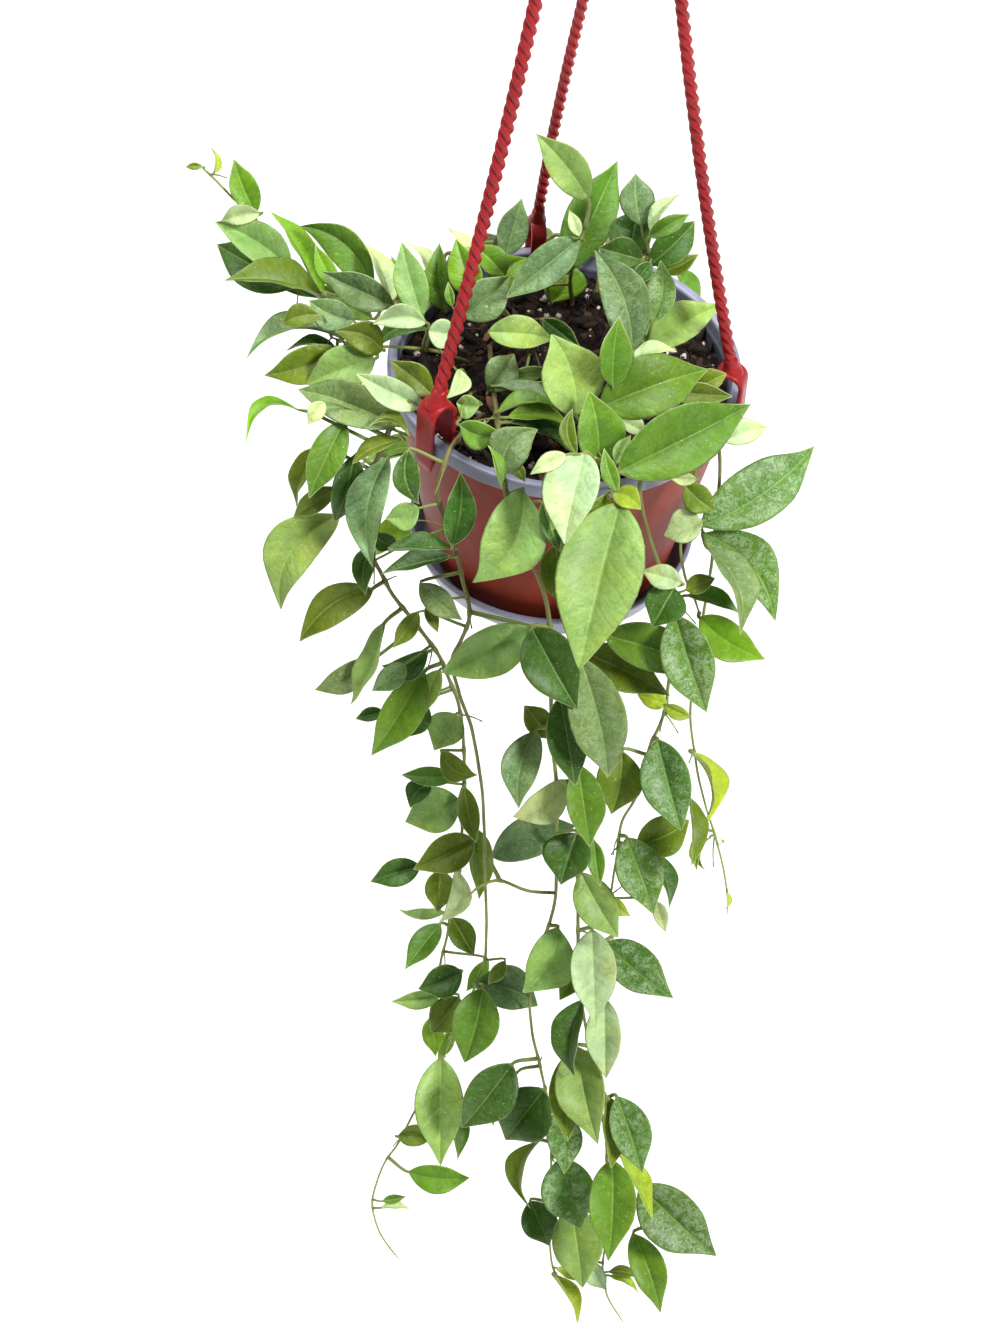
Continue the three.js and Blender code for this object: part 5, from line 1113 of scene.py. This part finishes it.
for sign, operation in (("add", "ADD"), ("sub", "SUBTRACT"), ("mul", "MULTIPLY"), ("truediv", "DIVIDE")):
    setattr(Wire, f"__{sign}__", lambda a, b, kind=operation: a.maths(kind, a, b))
    setattr(Wire, f"__r{sign}__", lambda a, b, kind=operation: a.maths(kind, b, a))


# A material with one shader: constants sit on its sockets, and one method adds any other node
class Look:
    def __init__(self, name, **constants):
        self.material = bpy.data.materials.new(name)
        self.material.use_nodes = True
        self.tree = self.material.node_tree
        self.shader = self.tree.nodes["Principled BSDF"]
        for key, value in constants.items():
            self.shader.inputs[key.replace("_", " ")].default_value = value

    def node(self, kind, settings=None, sockets=None, output=0):
        made = self.tree.nodes.new(kind)
        for key, value in (settings or {}).items():
            if key == "stops":
                while len(made.color_ramp.elements) < len(value):
                    made.color_ramp.elements.new(1.0)
                for element, (at, colour) in zip(made.color_ramp.elements, value):
                    element.position, element.color = at, (*colour, 1)
            else:
                setattr(made, key, value)
        for key, value in (sockets or {}).items():
            if isinstance(value, Wire):
                self.tree.links.new(value.socket, made.inputs[key])
            elif isinstance(value, tuple) and len(made.inputs[key].default_value) == 4:
                made.inputs[key].default_value = (*value[:3], 1)
            else:
                made.inputs[key].default_value = value
        return Wire(self, made.outputs[output])

    def attribute(self, name):
        return self.node("ShaderNodeAttribute", {"attribute_name": name}, output="Vector")

    def parts(self, vector):
        split = self.node("ShaderNodeSeparateXYZ", {}, {0: vector})
        return [Wire(self, output) for output in split.socket.node.outputs]

    def here(self):
        return self.node("ShaderNodeTexCoord", output="Object")

    def mix(self, factor, a, b):
        return self.node("ShaderNodeMix", {"data_type": "RGBA"}, {0: factor, 6: a, 7: b}, output=2)

    def scaled(self, colour, factor):
        return self.node("ShaderNodeVectorMath", {"operation": "SCALE"}, {0: colour, "Scale": factor})

    def noise(self, place, scale, detail=2.0, distortion=0.0, rough=0.5):
        return self.node("ShaderNodeTexNoise", {}, {"Vector": place, "Scale": scale, "Detail": detail,
                                                    "Roughness": rough, "Distortion": distortion})

    # The distance from the middle of each cell, and a number of the cell's own
    def cells(self, place, scale):
        away = self.node("ShaderNodeTexVoronoi", {}, {"Vector": place, "Scale": scale}, output="Distance")
        return away, self.node("ShaderNodeSeparateColor", {}, {0: Wire(self, away.socket.node.outputs["Color"])})

    # Round specks of a radius in cells of a size, in so large a share of the cells
    def specks(self, place, scale, radius, share):
        away, chosen = self.cells(place, scale)
        return (1 - away.between(radius * 0.6, radius)) * chosen.between(1 - share, 1 - share + 0.02)

    def feed(self, colour=None, roughness=None, height=None, distance=0.001, strength=0.5, **others):
        feeds = {"Base Color": colour, "Roughness": roughness}
        if height is not None:
            feeds["Normal"] = self.node("ShaderNodeBump", {}, {
                "Height": height, "Distance": distance, "Strength": strength})
        feeds.update({key.replace("_", " "): value for key, value in others.items()})
        for key, value in feeds.items():
            if value is not None:
                self.tree.links.new(value.socket, self.shader.inputs[key])
        return self.material


# Leaf: its own tone, cloudy and paler between the side veins, with a pale midrib, silver flecks, dark and
# white specks and a thin margin. The underside is paler and duller.
def leafLook():
    look = Look("waxy_leaf", Subsurface_Weight=0.05, Subsurface_Scale=0.002,
                Subsurface_Radius=(0.6, 1.0, 0.25), Specular_IOR_Level=0.22, Coat_Roughness=0.3)
    place = look.attribute("leafPlace")
    across, along, seed = look.parts(place)
    edge, top, kind = look.parts(look.attribute("leafTraits"))
    mottle = kind - 1
    blade = kind.between(0.2, 0.9)
    upper = top.between(0.3, 0.7)
    side = abs(across)
    broad = look.noise(place, 0.13, 3.0, 0.8, 0.6)
    fine = look.noise(place, 0.9, 4.0, 0.3, 0.6)
    warm = look.noise(place, 0.055, 1.0)
    tint = look.scaled(look.attribute("leafColour"), 0.25 + broad + fine * 0.5)
    tint = look.mix(warm.between(0.45, 0.75) * 0.45 * blade, tint, look.node(
        "ShaderNodeVectorMath", {"operation": "MULTIPLY"}, {0: tint, 1: (1.4, 1.12, 0.6)}))
    # Silver between winding dark lines, in some parts of the blade more than in others
    winding = abs(look.noise(place, 0.34, 3.0, 1.4, 0.6) - 0.5).between(0.0, 0.075)
    blotches = look.noise(place, 0.16, 4.0, 1.0, 0.62).between(0.4, 0.56) * winding
    flecks = look.noise(place, 1.2, 4.0, 0.8, 0.65).between(0.54, 0.64)
    keep = side.between(0.3, 1.2) * edge.between(0.3, 1.4) * blade * upper
    tint = look.mix(mottle * keep * (1 - winding) * 0.55, tint, look.scaled(tint, 0.45))
    tint = look.mix(blotches * mottle * keep * 0.75, tint, (0.31, 0.43, 0.23))
    tint = look.mix(flecks * (0.05 + mottle * 0.22) * upper, tint, (0.46, 0.56, 0.38))
    # Side veins leave the midrib slantwise, wavy and at uneven distances, and fade towards the margin
    wavy = along - side * 0.9 + look.noise(place, 0.2, 2.0, 0.4) * 7.0
    ridge = look.node("ShaderNodeMath", {"operation": "PINGPONG"}, {0: wavy, 1: 3.3}) / 3.3
    veins = (1 - ridge.between(0.0, 0.12)) * blade * edge.between(1.0, 5.0)
    midrib = (1 - side.between(0.18, 0.6)) * blade
    tint = look.mix(veins * 0.13, tint, look.scaled(tint, 0.6))
    tint = look.mix(midrib * 0.5, tint, look.mix(0.45, tint, (0.40, 0.50, 0.20)))
    dark = look.specks(place, 0.5, 0.16, 0.2) * blade
    white = (look.specks(place, 0.42, 0.13, 0.22) + look.specks(place, 0.8, 0.16, 0.16)) * blade * upper
    tint = look.mix(dark * 0.45, tint, (0.045, 0.06, 0.018))
    tint = look.mix(white * 0.6, tint, (0.62, 0.7, 0.55))
    margin = (1 - edge.between(0.1, 0.55)) * blade
    tint = look.mix(margin * 0.65, tint, look.mix(warm.between(0.36, 0.46), (0.12, 0.10, 0.03),
                                                  (0.50, 0.60, 0.27)))
    pale = look.mix(0.45, look.scaled(tint, 1.05), (0.29, 0.38, 0.17))
    tint = look.mix(blade, (0.20, 0.25, 0.07), look.mix(upper, pale, tint))
    rough = 0.36 + fine * 0.16 - midrib * 0.05 + (1 - upper) * 0.2 + blotches * mottle * 0.1
    height = fine * 0.35 + broad * 0.9 + ridge.between(0.0, 0.6) * blade * 0.3 * (upper * 2 - 1) - dark * 0.3
    return look.feed(tint, rough, height, 0.0007, 0.6, Coat_Weight=upper * blade * 0.08)


# Stem: green at its young end and brown at its foot, with streaks along it and pale lenticels
def stemLook():
    look = Look("vine_stem", Specular_IOR_Level=0.35)
    place = look.attribute("leafPlace")
    around, along, seed = look.parts(place)
    streaky = look.node("ShaderNodeCombineXYZ", {}, {0: around * 1.4, 1: along * 0.16, 2: seed})
    streaks = look.noise(streaky, 1.3, 3.0)
    blotch = look.noise(look.node("ShaderNodeCombineXYZ", {}, {0: around * 0.3, 1: along * 0.06, 2: seed}),
                        1.0, 2.0)
    tint = look.scaled(look.attribute("leafColour"), 0.5 + streaks * 0.6 + blotch * 0.4)
    tint = look.mix(blotch.between(0.5, 0.66) * 0.55, tint, (0.115, 0.062, 0.026))
    dots = look.specks(place, 0.8, 0.2, 0.3)
    tint = look.mix(dots * 0.5, tint, (0.4, 0.34, 0.22))
    return look.feed(tint, 0.5 + streaks * 0.25, streaks + dots * 0.5, 0.0004, 0.5)


# Moulded plastic: one colour with faint mottling and cloudiness, dust where wanted, and fine bumps
def plasticLook(name, base, dull, dust=0.1, dustColour=(0.5, 0.47, 0.45), **constants):
    look = Look(name, **constants)
    here = look.here()
    cloud = look.noise(here, 35.0, 3.0, 0.4)
    grain = look.noise(here, 900.0, 2.0)
    tint = look.mix(cloud.between(0.3, 0.75), tuple(c * 0.86 for c in base), tuple(min(1, c * 1.1) for c in base))
    dusty = look.noise(here, 120.0, 5.0, 0.5, 0.65).between(0.52, 0.75)
    tint = look.mix(dusty * dust, tint, dustColour)
    return look, tint, dull + cloud * 0.12 + dusty * 0.15 * (dust > 0), cloud * 0.7 + grain * 0.12


def rimLook():
    # The rim's grey-lilac base colour is a painted reflection: the sheen of pale surroundings on dark glossy plastic,
    # set as its colour
    look, tint, rough, height = plasticLook("rim_painted_sheen", (0.245, 0.255, 0.345), 0.28, 0.1, Specular_IOR_Level=0.4)
    # Inside the pot, below its rim, the plastic is nearly black
    x, y, z = look.parts(look.here())
    inside = 1 - (z * 1000 + hookBearing).between(-9.5, -7.5)
    soiled = look.noise(look.here(), 160.0, 5.0, 0.6, 0.7).between(0.5, 0.7)
    tint = look.mix(inside * 0.86, tint, (0.028, 0.03, 0.062))
    tint = look.mix(inside * soiled * 0.5, tint, (0.07, 0.05, 0.035))
    return look.feed(tint, rough + inside * 0.2, height, 0.0004, 0.25)


def wallLook():
    look, tint, rough, height = plasticLook("terracotta_plastic", (0.235, 0.033, 0.017), 0.4, 0.03,
                                            (0.4, 0.2, 0.15), Specular_IOR_Level=0.08)
    x, y, z = look.parts(look.here())
    streaky = look.node("ShaderNodeCombineXYZ", {}, {0: x * 90, 1: y * 90, 2: z * 7})
    streaks = look.noise(streaky, 1.0, 4.0).between(0.42, 0.72)
    tint = look.mix(streaks * 0.14, tint, (0.40, 0.09, 0.05))
    return look.feed(tint, rough, height, 0.0004, 0.25)


def saucerLook():
    # The saucer's grey-lilac base colour is a painted reflection: the sheen of pale surroundings on dark glossy
    # plastic, set as its colour
    look, *feeds = plasticLook("saucer_painted_sheen", (0.22, 0.23, 0.32), 0.3, 0.15, Specular_IOR_Level=0.4)
    return look.feed(*feeds, 0.0004, 0.25)


def hangerLook():
    look, tint, rough, height = plasticLook("crimson_hanger", (0.33, 0.012, 0.016), 0.3, 0.05,
                                            (0.4, 0.12, 0.1), Specular_IOR_Level=0.38)
    worn = look.noise(look.here(), 260.0, 4.0, 0.4, 0.6).between(0.55, 0.72)
    tint = look.mix(worn * 0.2, tint, (0.45, 0.04, 0.035))
    return look.feed(tint, rough + worn * 0.1, height, 0.0003, 0.3)


# Mix: dark peat in crumbs of several sizes, with brown and pale flecks
def soilLook():
    look = Look("potting_mix", Specular_IOR_Level=0.2)
    here = look.here()
    crumbs, hue = look.cells(here, 420.0)
    fine = look.noise(here, 900.0, 4.0, 0.3, 0.7)
    tint = look.node("ShaderNodeValToRGB", {"stops": [
        (0.0, (0.006, 0.004, 0.003)), (0.5, (0.013, 0.008, 0.006)), (0.76, (0.038, 0.020, 0.012)),
        (0.92, (0.11, 0.058, 0.032)), (1.0, (0.26, 0.17, 0.11))]}, {0: hue * 0.75 + fine * 0.25})
    tint = look.scaled(tint, 0.55 + fine * 0.9)
    return look.feed(tint, 0.82 + fine * 0.15, fine - crumbs * 1.2, 0.0016, 0.9)


# Crumbs: each has its own shade, from its mark, with pores
def crumbLook(name, stops, rough, bump):
    look = Look(name, Specular_IOR_Level=0.25)
    size, share, number = look.parts(look.attribute("crumb"))
    here = look.here()
    pores = look.noise(here, 1300.0, 4.0, 0.5, 0.65)
    tint = look.node("ShaderNodeValToRGB", {"stops": stops}, {0: share * 0.8 + pores * 0.2})
    tint = look.scaled(tint, 0.55 + pores * 0.9)
    return look.feed(tint, rough + pores * 0.1, pores, 0.0008, bump)


def groundLook():
    look = Look("pale_ground", Specular_IOR_Level=0.1)
    cloud = look.noise(look.here(), 1.5, 2.0)
    return look.feed(look.mix(cloud, (0.9, 0.9, 0.9), (0.93, 0.93, 0.925)), cloud * 0.05 + 0.85)


leafGreen, stemGreen = leafLook(), stemLook()
potRim, potWall, saucerPlastic, hangerPlastic = rimLook(), wallLook(), saucerLook(), hangerLook()
mixSoil = soilLook()
perlite = crumbLook("perlite", [(0.0, (0.22, 0.17, 0.15)), (0.5, (0.50, 0.44, 0.41)),
                                (1.0, (0.84, 0.80, 0.77))], 0.85, 0.6)
bark = crumbLook("bark", [(0.0, (0.006, 0.004, 0.003)), (0.55, (0.016, 0.010, 0.007)),
                          (0.78, (0.06, 0.032, 0.018)), (1.0, (0.30, 0.15, 0.075))], 0.8, 0.7)
print("materials made")


# Each plant is one piece, its leaves first; the hidden vines' leaves take their tones in turn
unseenTones = "gdsogldbog"


def growPlants():
    for k, (name, grown) in enumerate(plants.items()):
        random = seeded(977 + 31 * k)
        piece = Piece(name + "_grown")
        for leaf, tone in zip(grown["made"], grown["tones"] or unseenTones * 4):
            growLeaf(piece, leaf, tone, random)
        for j, stalk in enumerate(grown["stems"]):
            roots = [stalk["smooth"][leaf["stem"][1]] for leaf in grown["made"] if leaf["stem"][0] is stalk]
            growStem(piece, stalk, roots, 11 + 7 * k + j, random)
        piece.made([leafGreen, stemGreen], [name], "leaf", ["leafPlace", "leafTraits", "leafColour"])


growPlants()
print("plants grown")
makePot()
makeSaucer()
makeMix()
print("pot, saucer and mix made")
for index, arm in enumerate(hanger["arms"]):
    makeArm(index, arm)
makeHook()
print("hanger made")

# Floor, lights and surroundings: pale floor, broad soft light from above and in front
stage = {"floor": -1.6, "reach": 9.0, "around": 0.3, "lights": [
    ("key_light", (2.7, -2.3, 3.4), 1.2, 310), ("top_light", (-1.4, 1.2, 4.2), 3.2, 300)]}


def makeStage():
    mesh = bpy.data.meshes.new("floor")
    corners = [(x * stage["reach"], y * stage["reach"], stage["floor"])
               for x, y in ((-1, -1), (1, -1), (1, 1), (-1, 1))]
    mesh.from_pydata(corners, [], [(0, 1, 2, 3)])
    mesh.materials.append(groundLook())
    placed("floor", mesh)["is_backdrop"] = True
    world = bpy.data.worlds.new("studio")
    world.use_nodes = True
    background = world.node_tree.nodes["Background"]
    background.inputs["Color"].default_value = (1, 1, 1, 1)
    background.inputs["Strength"].default_value = stage["around"]
    bpy.context.scene.world = world
    bpy.context.scene.view_settings.view_transform = "Standard"
    for name, spot, size, power in stage["lights"]:
        data = bpy.data.lights.new(name, "AREA")
        data.shape, data.size, data.energy = "DISK", size, power
        light = placed(name, data)
        back = unit(np.array(spot) - [0, 0, -0.5])
        side = unit(np.cross([0, 0, 1.0], back))
        turn = np.eye(4)
        turn[:3, 0], turn[:3, 1], turn[:3, 2], turn[:3, 3] = side, np.cross(back, side), back, spot
        light.matrix_world = Matrix(turn.tolist())


makeStage()
print("stage set")
boxes = {"cad": cadBounds, "visual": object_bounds()}
{name: [list(map(float, corner)) for corner in box] for name, box in boxes.items()}
